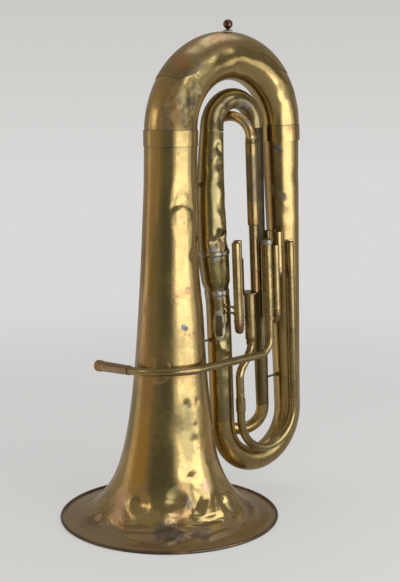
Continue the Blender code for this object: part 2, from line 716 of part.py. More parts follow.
def make_sleeve_group():
    middle = leaning(
        (STUB_ACROSS + RISER_ACROSS + SLEEVE_ACROSS) / 3.0,
        (STUB_DEPTH + RISER_DEPTH * 2.0) / 3.0,
        PLATE_TOP - PLATE_THICKNESS / 2.0,
    )
    reach = RISER_ACROSS - STUB_ACROSS + 2.0 * TUBING_RADIUS + 2.0 * MM
    deep = STUB_DEPTH - RISER_DEPTH + 2.0 * SLEEVE_TUBE
    plate = link(oval_prism("joint_plate", reach, deep, PLATE_THICKNESS, 24), DARK_BRASS)
    plate.matrix_world = Matrix.Translation(middle) @ Matrix.Rotation(-LEAN, 4, "Y")
    top = leaning(SLEEVE_ACROSS, RISER_DEPTH, SLEEVE_TOP)
    low = top - LEAN_UP * SLEEVE_LENGTH
    neck_mouth = over(TUBING_RADIUS, SMALL_SIDES) + TUBING_WALL
    tube(
        "slide_sleeve",
        [low, low + LEAN_UP * 8.0 * MM, low + LEAN_UP * 12.0 * MM, top],
        [neck_mouth, neck_mouth, SLEEVE_TUBE, SLEEVE_TUBE], TUBING_WALL, SMALL_SIDES, BRASS,
    )
    stub_foot = leaning(STUB_ACROSS, STUB_DEPTH, PLATE_TOP + GAP)
    stub_top = leaning(STUB_ACROSS, STUB_DEPTH, STUB_TOP)
    tube("open_valve_stub", [stub_foot, stub_top], [TUBING_RADIUS] * 2, TUBING_WALL, SMALL_SIDES, DARK_BRASS)


def make_goose_neck():
    """Left leg of the tuning slide: straight, then swung over into the sleeve."""
    neck_top = SLEEVE_TOP - SLEEVE_LENGTH - 1.0 * MM
    points = [leaning(TUNING_LEFT_ACROSS, TUNING_DEPTH, TUNING_FERRULE_BOTTOM)]
    steps = SMALL_BOW_STEPS
    for step in range(steps + 1):
        share = step / steps
        swing = (1.0 - math.cos(math.pi * share)) / 2.0
        across = TUNING_LEFT_ACROSS + (SLEEVE_ACROSS - TUNING_LEFT_ACROSS) * swing
        depth = TUNING_DEPTH + (RISER_DEPTH - TUNING_DEPTH) * swing
        points.append(leaning(across, depth, NECK_BOTTOM + (neck_top - NECK_BOTTOM) * share))
    points.append(points[-1] + LEAN_UP * NECK_SEAT)
    tube("goose_neck", points, [TUBING_RADIUS] * len(points), TUBING_WALL, SMALL_SIDES, BRASS)


# Slides

def slide_crook(name, legs, feet, seat, bead, material, steps):
    """U-shaped crook: two thin legs that run in the fixed tubes, and a bow of full size.

    legs are the tops of the legs, feet the ends of the bow, and seat the height of the
    full-size part above the feet. The full-size part starts with a bead when bead is given.
    """
    up = (legs[0] - feet[0]).normalized()
    leg = (TUBING_RADIUS - TUBING_WALL) * math.cos(math.pi / SMALL_SIDES) - SLIDE_GAP
    step = 0.8 * MM
    points = [legs[0], feet[0] + up * seat]
    radii = [leg, leg]
    if bead:
        points += [feet[0] + up * (seat - step), feet[0] + up * (seat - BEAD_HEIGHT)]
        radii += [TUBING_RADIUS + bead, TUBING_RADIUS + bead]
        points.append(feet[0] + up * (seat - BEAD_HEIGHT - step))
    else:
        points.append(feet[0] + up * (seat - step))
    radii.append(TUBING_RADIUS)
    mirrored = [place - feet[0] + feet[1] for place in reversed(points)]
    bow = half_turn(feet[0], feet[1], -up, steps)
    tube(name, points + bow + mirrored, radii + [TUBING_RADIUS] * len(bow) + radii[::-1],
         TUBING_WALL, SMALL_SIDES, material, (feet[0] + feet[1]) / 2.0)


def make_valve_slide(name, spec):
    turn = math.radians(spec["turn"])
    front = (spec["across"], spec["depth"])
    rear = (
        spec["across"] + SLIDE_LEG_SPACING * math.cos(turn),
        spec["depth"] + SLIDE_LEG_SPACING * math.sin(turn),
    )
    mouth = spec["bow"] + SLIDE_MOUTH
    for side, place in (("front", front), ("rear", rear)):
        low = leaning(*place, mouth)
        high = leaning(*place, spec["top"])
        tube(f"{name}_slide_{side}_leg", [low, high], [TUBING_RADIUS] * 2, TUBING_WALL, SMALL_SIDES, BRASS)
    legs = [leaning(*place, mouth + SLIDE_ENGAGED) for place in (front, rear)]
    feet = [leaning(*place, spec["bow"]) for place in (front, rear)]
    seat = mouth - GAP - spec["bow"]
    slide_crook(f"{name}_slide_crook", legs, feet, seat, SLIDE_BEAD, COPPER, VALVE_BOW_STEPS)


def make_tuning_slide():
    high = TUNING_FERRULE_BOTTOM + TUNING_FERRULE_HEIGHT
    low = leaning(TUNING_LEFT_ACROSS, TUNING_DEPTH, TUNING_FERRULE_BOTTOM + 1.0 * MM)
    top = leaning(TUNING_LEFT_ACROSS, TUNING_DEPTH, high)
    ring("tuning_ferrule", low, top, over(TUBING_RADIUS, SMALL_SIDES), 0.9 * MM, SMALL_SIDES, BRASS)
    exit_low = leaning(TUNING_RIGHT_ACROSS, TUNING_DEPTH, TUNING_FERRULE_BOTTOM)
    exit_top = leaning(TUNING_RIGHT_ACROSS, TUNING_DEPTH, EXIT_TOP)
    tube("valve_exit_tube", [exit_low, exit_top], [TUBING_RADIUS] * 2, TUBING_WALL, SMALL_SIDES, BRASS)
    sides = (TUNING_LEFT_ACROSS, TUNING_RIGHT_ACROSS)
    legs = [leaning(across, TUNING_DEPTH, TUNING_FERRULE_BOTTOM + TUNING_LEG_LENGTH) for across in sides]
    feet = [leaning(across, TUNING_DEPTH, TUNING_BOW_HEIGHT) for across in sides]
    seat = TUNING_FERRULE_BOTTOM - TUNING_BOW_HEIGHT - GAP
    slide_crook("tuning_slide", legs, feet, seat, 0.0, BRASS, INNER_BOW_STEPS)


# Leadpipe and receiver

def make_leadpipe():
    axis = bell_axis(LEADPIPE_HEIGHT)
    centre = Vector((axis, 0.0, LEADPIPE_HEIGHT))
    wrap = bell_radius(LEADPIPE_HEIGHT) + LEADPIPE_STANDOFF + LEADPIPE_RADIUS
    entry_base = leaning(ENTRY_ACROSS, ENTRY_DEPTH, LEADPIPE_HEIGHT)
    level = (LEADPIPE_HEIGHT - entry_base.z) / LEAN_UP.z
    corner = entry_base + LEAN_UP * level
    reach = corner - centre
    swing = math.asin(wrap / reach.length) - math.atan2(-reach.y, reach.x)
    run = Vector((math.cos(swing), math.sin(swing), 0.0))
    bend_turn = math.acos(run.dot(LEAN_UP))
    cut_back = ENTRY_BEND_RADIUS * math.tan(bend_turn / 2.0)
    bend_start = corner - run * cut_back
    inward = (LEAN_UP - run * run.dot(LEAN_UP)).normalized()
    bend_centre = bend_start + inward * ENTRY_BEND_RADIUS
    bend = arc(bend_centre, -inward * ENTRY_BEND_RADIUS, run * ENTRY_BEND_RADIUS, 0.0, bend_turn, 4)
    round_bell = arc(centre, Vector((wrap, 0.0, 0.0)), Vector((0.0, wrap, 0.0)), math.pi,
                     1.5 * math.pi + swing, LEADPIPE_STEPS)
    for step, point in enumerate(round_bell):
        angle = math.pi + (0.5 * math.pi + swing) * step / LEADPIPE_STEPS
        point.z -= wrap * max(LEADPIPE_FALL_START - angle, 0.0) * math.tan(LEADPIPE_FALL)
    back = Vector((0.0, math.cos(LEADPIPE_FALL), -math.sin(LEADPIPE_FALL)))
    start = round_bell[0] + back * (RECEIVER_START / back.y)
    joint = leaning(ENTRY_ACROSS, ENTRY_DEPTH, ENTRY_JOINT - GAP)
    points = [start] + round_bell + bend + [joint]
    tube("leadpipe", points, [LEADPIPE_RADIUS] * len(points), TUBING_WALL, SMALL_SIDES, BRASS)

    seam = leaning(ENTRY_ACROSS, ENTRY_DEPTH, ENTRY_JOINT)
    top = leaning(ENTRY_ACROSS, ENTRY_DEPTH, ENTRY_TOP)
    tube("leadpipe_riser", [seam, top], [ENTRY_RADIUS] * 2, TUBING_WALL, SMALL_SIDES, BRASS)
    ring("leadpipe_joint_ring", seam - LEAN_UP * 5.0 * MM, seam + LEAN_UP * 3.0 * MM,
         over(ENTRY_RADIUS, SMALL_SIDES), 0.8 * MM, SMALL_SIDES, BRASS)
    ring("leadpipe_top_ring", top - LEAN_UP * 11.0 * MM, top - LEAN_UP * 0.5 * MM,
         over(ENTRY_RADIUS, SMALL_SIDES), 0.8 * MM, SMALL_SIDES, SOLDER)

    pipe_end = start + back * GAP
    far = RECEIVER_LENGTH
    step = RECEIVER_RING_WIDTH
    bore_end = LEADPIPE_RADIUS - TUBING_WALL
    socket = RECEIVER_END_RADIUS - 2.6 * MM
    profile = [
        (socket, far), (RECEIVER_RING_RADIUS, far), (RECEIVER_RING_RADIUS, far - step),
        (RECEIVER_END_RADIUS + 0.5 * MM, far - step), (RECEIVER_END_RADIUS + 0.5 * MM, far - 1.6 * step),
        (RECEIVER_END_RADIUS, far - 1.6 * step), (LEADPIPE_RADIUS + 1.0 * MM, 6.0 * MM),
        (LEADPIPE_RADIUS + 1.0 * MM, 0.0), (bore_end, 0.0), (RECEIVER_BORE, far * 0.55), (socket, far),
    ]
    turned("mouthpiece_receiver", profile, SMALL_SIDES, COPPER, along(pipe_end, pipe_end + back))


def make_leadpipe_flange():
    """Oval plate that follows the bell, with a post up to the leadpipe."""
    heights = [LEADPIPE_HEIGHT + FLANGE_HEIGHT * share for share in (0.62, 0.3, 0.0, -0.3, -0.62)]
    offset = over(bell_wall(heights[-1]), BELL_SIDES) - bell_wall(heights[-1]) + FLANGE_WALL
    plate = link(bell_sheet("leadpipe_flange", heights, offset, FLANGE_WALL), SOLDER)
    out = Vector((math.cos(FLANGE_ANGLE), math.sin(FLANGE_ANGLE), 0.0))
    sideways = Vector((-out.y, out.x, 0.0))
    facing = Matrix((sideways, Vector((0.0, 0.0, 1.0)), out)).transposed().to_4x4()
    middle = Vector((bell_axis(LEADPIPE_HEIGHT), 0.0, LEADPIPE_HEIGHT))
    reach = bell_radius(LEADPIPE_HEIGHT)
    outline = oval_prism("flange_outline", FLANGE_WIDTH, FLANGE_HEIGHT, reach, 28)
    cutter(outline, Matrix.Translation(middle + out * reach) @ facing)
    boolean(plate, outline, "INTERSECT")
    wrap = reach + LEADPIPE_STANDOFF + LEADPIPE_RADIUS
    flat = wrap * (1.0 - math.cos(math.pi / 4.0 / LEADPIPE_STEPS * 1.1))
    post_top = LEADPIPE_STANDOFF - GAP - flat
    post_length = post_top - offset + FLANGE_WALL / 2.0
    post = oval_prism("flange_post", 14.0 * MM, 10.0 * MM, post_length, 12)
    post_middle = middle + out * (reach + post_top - post_length / 2.0)
    cutter(post, Matrix.Translation(post_middle) @ facing)
    boolean(plate, post, "UNION")


# Stays

def left_tube_radius(height):
    if height < LEFT_LOWER_TOP:
        share = (height - LEFT_FOOT) / (LEFT_LOWER_TOP - LEFT_FOOT)
        return LEFT_JOINT_TUBE + (LEFT_LOWER_TUBE - LEFT_JOINT_TUBE) * share
    if height < FUNNEL_TOP:
        share = (height - LEFT_LOWER_TOP) / (FUNNEL_TOP - LEFT_LOWER_TOP)
        return LEFT_LOWER_TUBE + (FUNNEL_TUBE - LEFT_LOWER_TUBE) * share
    share = (height - FUNNEL_TOP) / (INNER_BOW_HEIGHT - FUNNEL_TOP)
    return FUNNEL_TUBE + (LEFT_UPPER_TUBE - FUNNEL_TUBE) * share


def outer_tube_radius(height):
    share = (height - OUTER_JOINT_HEIGHT) / (OUTER_BRANCH_TOP - OUTER_JOINT_HEIGHT)
    return OUTER_JOINT_TUBE + (OUTER_TOP_TUBE - OUTER_JOINT_TUBE) * share


def rear_tube_radius(height):
    share = (height - REAR_BOW_HEIGHT) / (INNER_BOW_HEIGHT - REAR_BOW_HEIGHT)
    return REAR_BOTTOM_TUBE + (REAR_TOP_TUBE - REAR_BOTTOM_TUBE) * share


def make_stays():
    third = SLIDES["third"]
    for name, height in THIRD_STAY_HEIGHTS.items():
        stay(f"third_slide_stay_{name}", leaning(LEFT_ACROSS, 0.0, height), left_tube_radius(height),
             leaning(third["across"], third["depth"], height), TUBING_RADIUS, BRASS)
    first = SLIDES["first"]
    height = ENTRY_TOP - FIRST_STAY_DROP
    stay("first_slide_stay", leaning(ENTRY_ACROSS, ENTRY_DEPTH, height), ENTRY_RADIUS,
         leaning(first["across"], first["depth"], height), TUBING_RADIUS, BRASS)
    second = SLIDES["second"]
    height = SECOND_STAY_HEIGHT
    stay("second_slide_stay", leaning(second["across"], second["depth"] + SLIDE_LEG_SPACING, height),
         TUBING_RADIUS, leaning(OUTER_ACROSS, 0.0, height), outer_tube_radius(height), DARK_BRASS)
    height = EXIT_STAY_HEIGHT
    stay("exit_tube_stay", leaning(OUTER_ACROSS, 0.0, height), outer_tube_radius(height),
         leaning(TUNING_RIGHT_ACROSS, TUNING_DEPTH, height), TUBING_RADIUS, SOLDER)
    height = OUTER_JOINT_HEIGHT + REAR_STAY_RISE
    stay("rear_tube_stay", leaning(REAR_ACROSS, 0.0, height), rear_tube_radius(height),
         leaning(OUTER_ACROSS, 0.0, height), outer_tube_radius(height), DARK_BRASS)
    height = REAR_LEG_STAY_HEIGHT
    stay("rear_leg_stay", leaning(REAR_LEG_ACROSS, REAR_LEG_DEPTH, height), REAR_LEG_TUBE,
         leaning(LEFT_ACROSS, 0.0, height), left_tube_radius(height), DARK_BRASS)
    for name, height in BELL_STAY_HEIGHTS.items():
        branch = leaning(LEFT_ACROSS, 0.0, height)
        wall = bell_wall(branch.z - STAY_FOOT_RADIUS) + BELL_DRIFT * 0.02
        stay(f"bell_stay_{name}", bell_point(branch.z), wall, branch, left_tube_radius(height), DARK_BRASS)


# Lyre socket

def make_lyre_socket():
    """Oval plate bent round the left branch, a slotted box on it, and its thumbscrew."""
    out = LEAN_SIDE * math.cos(LYRE_TURN) + DEPTH * math.sin(LYRE_TURN)
    sideways = LEAN_UP.cross(out)
    facing = Matrix((sideways, LEAN_UP, out)).transposed().to_4x4()
    axis = leaning(LEFT_ACROSS, 0.0, LYRE_HEIGHT)
    wall = over(left_tube_radius(LYRE_HEIGHT - LYRE_PLATE_LENGTH / 2.0), LARGE_SIDES) + 0.1 * MM
    half = LEAN_UP * (LYRE_PLATE_LENGTH * 0.6)
    plate = ring("lyre_plate", axis - half, axis + half, wall, LYRE_PLATE_WALL, LARGE_SIDES, BRASS)
    plate = as_mesh(plate)
    outline = oval_prism("lyre_plate_outline", LYRE_PLATE_WIDTH, LYRE_PLATE_LENGTH, wall, 24)
    cutter(outline, Matrix.Translation(axis + out * (wall + LYRE_PLATE_WALL)) @ facing)
    boolean(plate, outline, "INTERSECT")

    seat = wall + LYRE_PLATE_WALL + GAP
    box = link(solid_box("lyre_socket", (LYRE_BOX_WIDTH, LYRE_BOX_LENGTH, LYRE_BOX_DEPTH)), BRASS)
    box.matrix_world = Matrix.Translation(axis + out * (seat + LYRE_BOX_DEPTH / 2.0)) @ facing
    slot = solid_box("lyre_slot", (LYRE_SLOT_WIDTH, LYRE_BOX_LENGTH * 1.5, LYRE_SLOT_DEPTH))
    middle = axis + out * (seat + LYRE_BOX_DEPTH / 2.0)
    cutter(slot, Matrix.Translation(middle) @ facing)
    boolean(box, slot, "DIFFERENCE")
    across = Matrix.Translation(middle) @ facing @ Matrix.Rotation(math.pi / 2.0, 4, "Y")
    bore = oval_prism("lyre_bore", 2.0 * LYRE_SCREW_RADIUS + 0.6 * MM, 2.0 * LYRE_SCREW_RADIUS + 0.6 * MM,
                      LYRE_BOX_WIDTH, 16)
    cutter(bore, across @ Matrix.Translation((0.0, 0.0, LYRE_BOX_WIDTH * 0.75)))
    boolean(box, bore, "DIFFERENCE")
    face = LYRE_BOX_WIDTH / 2.0 + GAP
    tip = LYRE_SLOT_WIDTH / 2.0 - 1.0 * MM
    head = face + LYRE_HEAD_LENGTH
    profile = [
        (0.0, head), (LYRE_HEAD_RADIUS * 0.8, head), (LYRE_HEAD_RADIUS, head - 0.8 * MM),
        (LYRE_HEAD_RADIUS, face + 0.5 * MM), (LYRE_HEAD_RADIUS * 0.8, face),
        (LYRE_SCREW_RADIUS, face), (LYRE_SCREW_RADIUS, tip), (0.0, tip),
    ]
    turned("lyre_thumbscrew", profile, 12, BRASS, across)


def main():
    make_bell()
    make_rim_wire()
    make_bell_ferrule()
    make_top_bow()
    make_guard()
    make_finial()
    make_outer_branch()
    make_bottom_bow()
    make_left_branch()
    make_inner_bow()
    make_rear_tubes()
    make_crook_and_riser()
    make_sleeve_group()
    make_goose_neck()
    for name, spec in SLIDES.items():
        make_valve_slide(name, spec)
    make_tuning_slide()
    make_leadpipe()
    make_leadpipe_flange()
    make_stays()
    make_lyre_socket()


clear_scene()
PARTS = new_collection("contrabass_saxhorn")
CUTTERS = new_collection("cutters")
BRASS = brass("aged_brass", (0.46, 0.33, 0.13), 0.28)
DARK_BRASS = brass("dark_brass", (0.25, 0.18, 0.08), 0.35)
COPPER = brass("copper_brown_brass", (0.33, 0.17, 0.08), 0.38)
SOLDER = brass("grey_solder", (0.42, 0.41, 0.38), 0.45)
main()
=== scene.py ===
import math

import bmesh
import bpy
from mathutils import Matrix, Vector, noise


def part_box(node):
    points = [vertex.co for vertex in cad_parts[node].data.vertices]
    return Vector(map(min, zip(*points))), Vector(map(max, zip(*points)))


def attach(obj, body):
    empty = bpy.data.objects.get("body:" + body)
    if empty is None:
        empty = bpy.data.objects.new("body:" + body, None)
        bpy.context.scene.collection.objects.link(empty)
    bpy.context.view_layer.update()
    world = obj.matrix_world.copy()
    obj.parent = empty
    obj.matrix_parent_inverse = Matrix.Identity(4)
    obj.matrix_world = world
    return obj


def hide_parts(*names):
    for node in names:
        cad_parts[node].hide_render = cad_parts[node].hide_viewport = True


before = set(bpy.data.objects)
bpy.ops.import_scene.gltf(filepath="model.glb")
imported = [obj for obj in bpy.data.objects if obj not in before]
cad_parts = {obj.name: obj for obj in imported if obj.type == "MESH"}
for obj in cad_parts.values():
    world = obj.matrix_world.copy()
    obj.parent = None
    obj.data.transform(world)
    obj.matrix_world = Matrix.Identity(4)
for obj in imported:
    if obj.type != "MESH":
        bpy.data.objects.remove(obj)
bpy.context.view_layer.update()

mm = 0.001
print("frame loaded:", len(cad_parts), "CAD nodes")


# Places. The branches and bows lean away from the bell; their places are (across, depth, height), in
# millimetres.

leanAngle = math.radians(3.0)
rimLow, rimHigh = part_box("bell_rim_wire")
bellX = (rimLow.x + rimHigh.x) / 2.0
cameraTurn = math.radians(229.0)        # direction from the bell toward the camera, round +Z from +X
straightUp = Vector((0.0, 0.0, 1.0))


def levelStep(angle):
    # a level direction, round +Z from +X
    return Vector((math.cos(angle), math.sin(angle), 0.0))


def leanStep(across, depth, height):
    x = across * math.cos(leanAngle) - height * math.sin(leanAngle)
    z = across * math.sin(leanAngle) + height * math.cos(leanAngle)
    return Vector((x, depth, z)) * mm


def spot(across, depth, height):
    return Vector((bellX, 0.0, 0.0)) + leanStep(across, depth, height)


upward = leanStep(0.0, 0.0, 1.0).normalized()
sideward = leanStep(1.0, 0.0, 0.0).normalized()
inward = Vector((0.0, 1.0, 0.0))        # away from the front


def aroundTube(axis, radius, turn):
    # a point on an upright tube's skin; turn 0 faces the camera, 90 the photo's right
    return axis + levelStep(cameraTurn + math.radians(turn)) * radius * mm


def onTube(across, depth, height, radius, turn):
    return aroundTube(spot(across, depth, height), radius, turn)


def arcPoints(centre, first, second, start, end, count):
    angles = [start + (end - start) * step / count for step in range(count + 1)]
    return [centre + first * math.cos(angle) + second * math.sin(angle) for angle in angles]


def bowPoints(left, right, bulge, count):
    middle = (left + right) / 2.0
    across = left - middle
    return arcPoints(middle, across, bulge * across.length, 0.0, math.pi, count)


def withEnds(points, step):
    # a bow with a short straight seat at each end
    return [points[0] + step * mm] + points + [points[-1] + step * mm]


def alongPath(points, first, last, scale):
    # radii from first to last, even along the path
    runs = [0.0]
    for one, two in zip(points, points[1:]):
        runs.append(runs[-1] + (two - one).length)
    return [(first + (last - first) * run / runs[-1]) * scale for run in runs]


def standing(base, axis):
    # puts a turned piece at base with its own Z along the axis
    return Matrix.Translation(base) @ straightUp.rotation_difference(axis).to_matrix().to_4x4()


# Paint

class Wire:
    # one shader socket, with sums written as sums
    def __init__(self, paint, socket):
        self.paint = paint
        self.socket = socket

    def sum(self, operation, one, two):
        return self.paint.node("ShaderNodeMath", {"operation": operation}, {0: one, 1: two})

    def __add__(self, other):
        return self.sum("ADD", self, other)

    def __sub__(self, other):
        return self.sum("SUBTRACT", self, other)

    def __mul__(self, other):
        return self.sum("MULTIPLY", self, other)

    def __radd__(self, other):
        return self.sum("ADD", other, self)

    def __rsub__(self, other):
        return self.sum("SUBTRACT", other, self)

    def atMost(self, other):
        return self.sum("MINIMUM", self, other)

    def rise(self, low, high):
        # 0 below low, 1 above high, and smooth between
        sockets = {0: self, 1: low, 2: high, 3: 0.0, 4: 1.0}
        return self.paint.node("ShaderNodeMapRange", {"interpolation_type": "SMOOTHSTEP"}, sockets)


class Paint:
    def __init__(self, tree):
        self.tree = tree
        tree.nodes.clear()

    def plug(self, socket, value):
        if isinstance(value, Wire):
            self.tree.links.new(value.socket, socket)
        else:
            socket.default_value = value

    def node(self, kind, settings, sockets, output=0):
        made = self.tree.nodes.new(kind)
        for key, value in settings.items():
            setattr(made, key, value)
        for key, value in sockets.items():
            self.plug(made.inputs[key], value)
        return Wire(self, made.outputs[output]) if made.outputs else None

    def place(self):
        return self.node("ShaderNodeTexCoord", {}, {}, "Object")

    def stretched(self, place, scale):
        return self.node("ShaderNodeMapping", {}, {"Vector": place, "Scale": scale})

    def clouds(self, place, scale, detail, twist=0.0):
        sockets = {"Vector": place, "Scale": scale, "Detail": detail, "Roughness": 0.6, "Distortion": twist}
        return self.node("ShaderNodeTexNoise", {}, sockets)

    def vector(self, operation, sockets, output="Value"):
        return self.node("ShaderNodeVectorMath", {"operation": operation}, sockets, output)

    def near(self, place, point, reach):
        # 1 at a point of the horn, falling to 0 at reach
        return 1.0 - self.vector("DISTANCE", {0: place, 1: tuple(point)}).rise(0.0, reach)

    def along(self, place, axis):
        return self.vector("DOT_PRODUCT", {0: place, 1: tuple(axis)})

    def blend(self, one, two, share):
        return self.node("ShaderNodeMix", {"data_type": "RGBA"}, {0: share, 6: one, 7: two}, 2)

    def mixed(self, share, one, two):
        return self.node("ShaderNodeMixShader", {}, {0: share, 1: one, 2: two})


def paintOf(holder):
    # an empty node tree of a material or the world
    holder.use_nodes = True
    return Paint(holder.node_tree)


tones = {
    "gold": (0.67, 0.48, 0.185), "bright": (0.80, 0.62, 0.33), "olive": (0.36, 0.28, 0.105),
    "copper": (0.56, 0.31, 0.13), "brown": (0.20, 0.14, 0.085), "brim": (0.44, 0.33, 0.21),
    # the near-black tone at the end of the next line is painted shade
    "grey": (0.50, 0.50, 0.46), "blue": (0.25, 0.28, 0.36), "shadeBlack": (0.03, 0.025, 0.02),
    # the pale peach tone at the end of the next line is a painted highlight
    "smoke": (0.20, 0.155, 0.12), "slate": (0.36, 0.37, 0.38), "highlightPeach": (0.88, 0.60, 0.36),
    # the dark olive tone at the end of the next line is painted shade and dark reflection on the fronts, and dark
    # tarnish round the backs
    "amber": (0.66, 0.40, 0.10), "rust": (0.58, 0.36, 0.13), "duskShadeAndTarnish": (0.36, 0.29, 0.11),
}


def tone(shade):
    # a named tone or a red, green, blue of its own
    return (*tones.get(shade, shade), 1.0)


def agedBrass(name, base="gold", dull="olive", tarnish=0.8, copper=0.1, grime=0.5, roughness=0.2, relief=0.22,
              metallic=1.0, coat=0.6, cloudScale=7.0, patchScale=13.0, on=Vector, bands=(), blooms=(), streaks=(),
              lines=()):
    # brass with clouds of tarnish, copper patches, drips and pin spots; its own blooms and streaks lie at the
    # places that on gives, and their sizes and the bands' and lines' heights are in millimetres. The tones that
    # callers give to bands, blooms and streaks are stains at some places and painted shade, dark reflection and
    # highlights at others
    material = bpy.data.materials.new(name)
    paint = paintOf(material)
    place = paint.place()
    broad = paint.clouds(place, cloudScale, 5.0, 0.6)
    drips = paint.clouds(paint.stretched(place, (26.0, 26.0, 3.2)), 1.0, 4.0, 0.3)
    patches = paint.clouds(place, patchScale, 6.0, 0.9)
    fine = paint.clouds(place, 90.0, 4.0)
    grain = paint.clouds(place, 420.0, 3.0)

    clouded = (broad * 0.65 + drips * 0.35).rise(0.40, 0.64) * tarnish
    reddish = patches.rise(0.66 - copper, 0.78 - copper)
    dirt = (fine * 0.55 + patches * 0.45).rise(0.56, 0.70) * grime
    cells = paint.node("ShaderNodeTexVoronoi", {}, {"Vector": place, "Scale": 70.0})
    pins = (1.0 - cells.rise(0.05, 0.16)) * broad.rise(0.48, 0.60) * 0.6
    shade = paint.blend(tone(base), tone(dull), clouded)
    shade = paint.blend(shade, tone("copper"), reddish * 0.75)
    shade = paint.blend(shade, tone("brown"), dirt)
    shade = paint.blend(shade, tone("brown"), pins)
    wear = clouded * 0.10 + reddish * 0.10 + dirt * 0.28 + pins * 0.2

    for low, high, shadeHere, amount in bands:
        low, high = low * mm, high * mm
        height = paint.node("ShaderNodeSeparateXYZ", {}, {0: place}, "Z")
        edge = height + (patches - 0.5) * 0.03
        band = edge.rise(low - 0.006, low + 0.006) * (1.0 - edge.rise(high - 0.008, high + 0.008)) * amount
        shade = paint.blend(shade, tone(shadeHere), band * (0.65 + fine * 0.5))
        wear = wear + band * 0.25
    if blooms:
        ragged = paint.clouds(place, 55.0, 6.0, 0.5) - 0.5
    for at, reach, shadeHere, amount in blooms:
        point, reach = on(*at), reach * mm
        bloom = (paint.near(place, point, reach) + ragged * 1.9).rise(0.34, 0.92)
        bloom = bloom * paint.near(place, point, reach * 1.3).rise(0.0, 0.5) * amount
        shade = paint.blend(shade, tone(shadeHere), bloom)
        wear = wear + bloom * 0.3
    for at, reach, height, shadeHere, amount in streaks:        # tall soft stripes up the skin
        point, flat = on(*at), reach / height
        squashed = paint.stretched(place, (1.0, 1.0, flat))
        streak = paint.near(squashed, (point.x, point.y, point.z * flat), reach * mm)
        streak = (streak + (drips - 0.5) * 0.9 + (fine - 0.5) * 0.5).rise(0.28, 0.62) * amount
        shade = paint.blend(shade, tone(shadeHere), streak)
        wear = wear + streak * 0.05
    for axis, level, half in lines:
        off = paint.node("ShaderNodeMath", {"operation": "ABSOLUTE"}, {0: paint.along(place, axis) - level * mm})
        line = (1.0 - off.rise(half * mm * 0.5, half * mm)) * (0.55 + fine * 0.8).atMost(1.0) * 0.7
        shade = paint.blend(shade, tone("smoke"), line)

    bump = paint.node("ShaderNodeBump", {}, {
        "Strength": relief, "Distance": 0.0012, "Height": fine * 0.5 + broad + grain * 0.12 - pins * 0.3,
    })
    shader = paint.node("ShaderNodeBsdfPrincipled", {}, {
        "Base Color": shade, "Metallic": metallic, "Normal": bump,
        "Roughness": (roughness + (fine - 0.4) * 0.22 + wear).atMost(0.85),
        "Coat Weight": coat, "Coat IOR": 1.6, "Coat Roughness": 0.22,
    })
    paint.node("ShaderNodeOutputMaterial", {}, {"Surface": shader})
    return material


# Mesh work

def placed(name, data):
    made = bpy.data.objects.new(name, data)
    bpy.context.scene.collection.objects.link(made)
    return made


def sweptTube():
    # a tube along an edge path whose points carry their own radius
    tree = bpy.data.node_groups.new("sweptTube", "GeometryNodeTree")
    keys = {}
    for name, way, kind in (
        ("Path", "INPUT", "Geometry"), ("Sides", "INPUT", "Int"), ("Metal", "INPUT", "Material"),
        ("Tube", "OUTPUT", "Geometry"),
    ):
        keys[name] = tree.interface.new_socket(name, in_out=way, socket_type="NodeSocket" + kind).identifier
    graph = Paint(tree)
    path, sides, metal = [graph.node("NodeGroupInput", {}, {}, name) for name in ("Path", "Sides", "Metal")]
    curve = graph.node("GeometryNodeMeshToCurve", {}, {"Mesh": path})
    section = graph.node("GeometryNodeCurvePrimitiveCircle", {}, {"Resolution": sides, "Radius": 1.0})
    radius = graph.node("GeometryNodeInputNamedAttribute", {"data_type": "FLOAT"}, {"Name": "tubeRadius"})
    tube = graph.node("GeometryNodeCurveToMesh", {}, {"Curve": curve, "Profile Curve": section, "Scale": radius})
    tube = graph.node("GeometryNodeSetShadeSmooth", {}, {"Geometry": tube})
    tube = graph.node("GeometryNodeRealizeInstances", {}, {"Geometry": tube})
    tube = graph.node("GeometryNodeSetMaterial", {}, {"Geometry": tube, "Material": metal})
    graph.node("NodeGroupOutput", {}, {"Tube": tube})
    return tree, keys["Sides"], keys["Metal"]


tubeTree, sidesKey, metalKey = sweptTube()


def evaluated(holder):
    # the mesh after the holder's modifiers; the holder goes
    ready = holder.evaluated_get(bpy.context.evaluated_depsgraph_get())
    mesh = bpy.data.meshes.new_from_object(ready)
    bpy.data.objects.remove(holder, do_unlink=True)
    return mesh


def closer(points, radii, spacing):
    # the same path with points at most spacing apart
    newPoints, newRadii = [points[0]], [radii[0]]
    for one, two, low, high in zip(points, points[1:], radii, radii[1:]):
        parts = max(1, math.ceil((two - one).length / spacing))
        for part in range(1, parts + 1):
            newPoints.append(one.lerp(two, part / parts))
            newRadii.append(low + (high - low) * part / parts)
    return newPoints, newRadii


def tubeSkin(name, points, radii, sides, material):
    path = bpy.data.meshes.new(name)
    path.from_pydata(points, [(step, step + 1) for step in range(len(points) - 1)], [])
    path.attributes.new("tubeRadius", "FLOAT", "POINT").data.foreach_set("value", [r * mm for r in radii])
    holder = placed(name, path)
    sweep = holder.modifiers.new("sweep", "NODES")
    sweep.node_group = tubeTree
    sweep[sidesKey] = sides
    sweep[metalKey] = material
    return evaluated(holder)


def meshOf(form, name, material):
    mesh = bpy.data.meshes.new(name)
    form.to_mesh(mesh)
    form.free()
    mesh.materials.clear()
    mesh.materials.append(material)
    return mesh


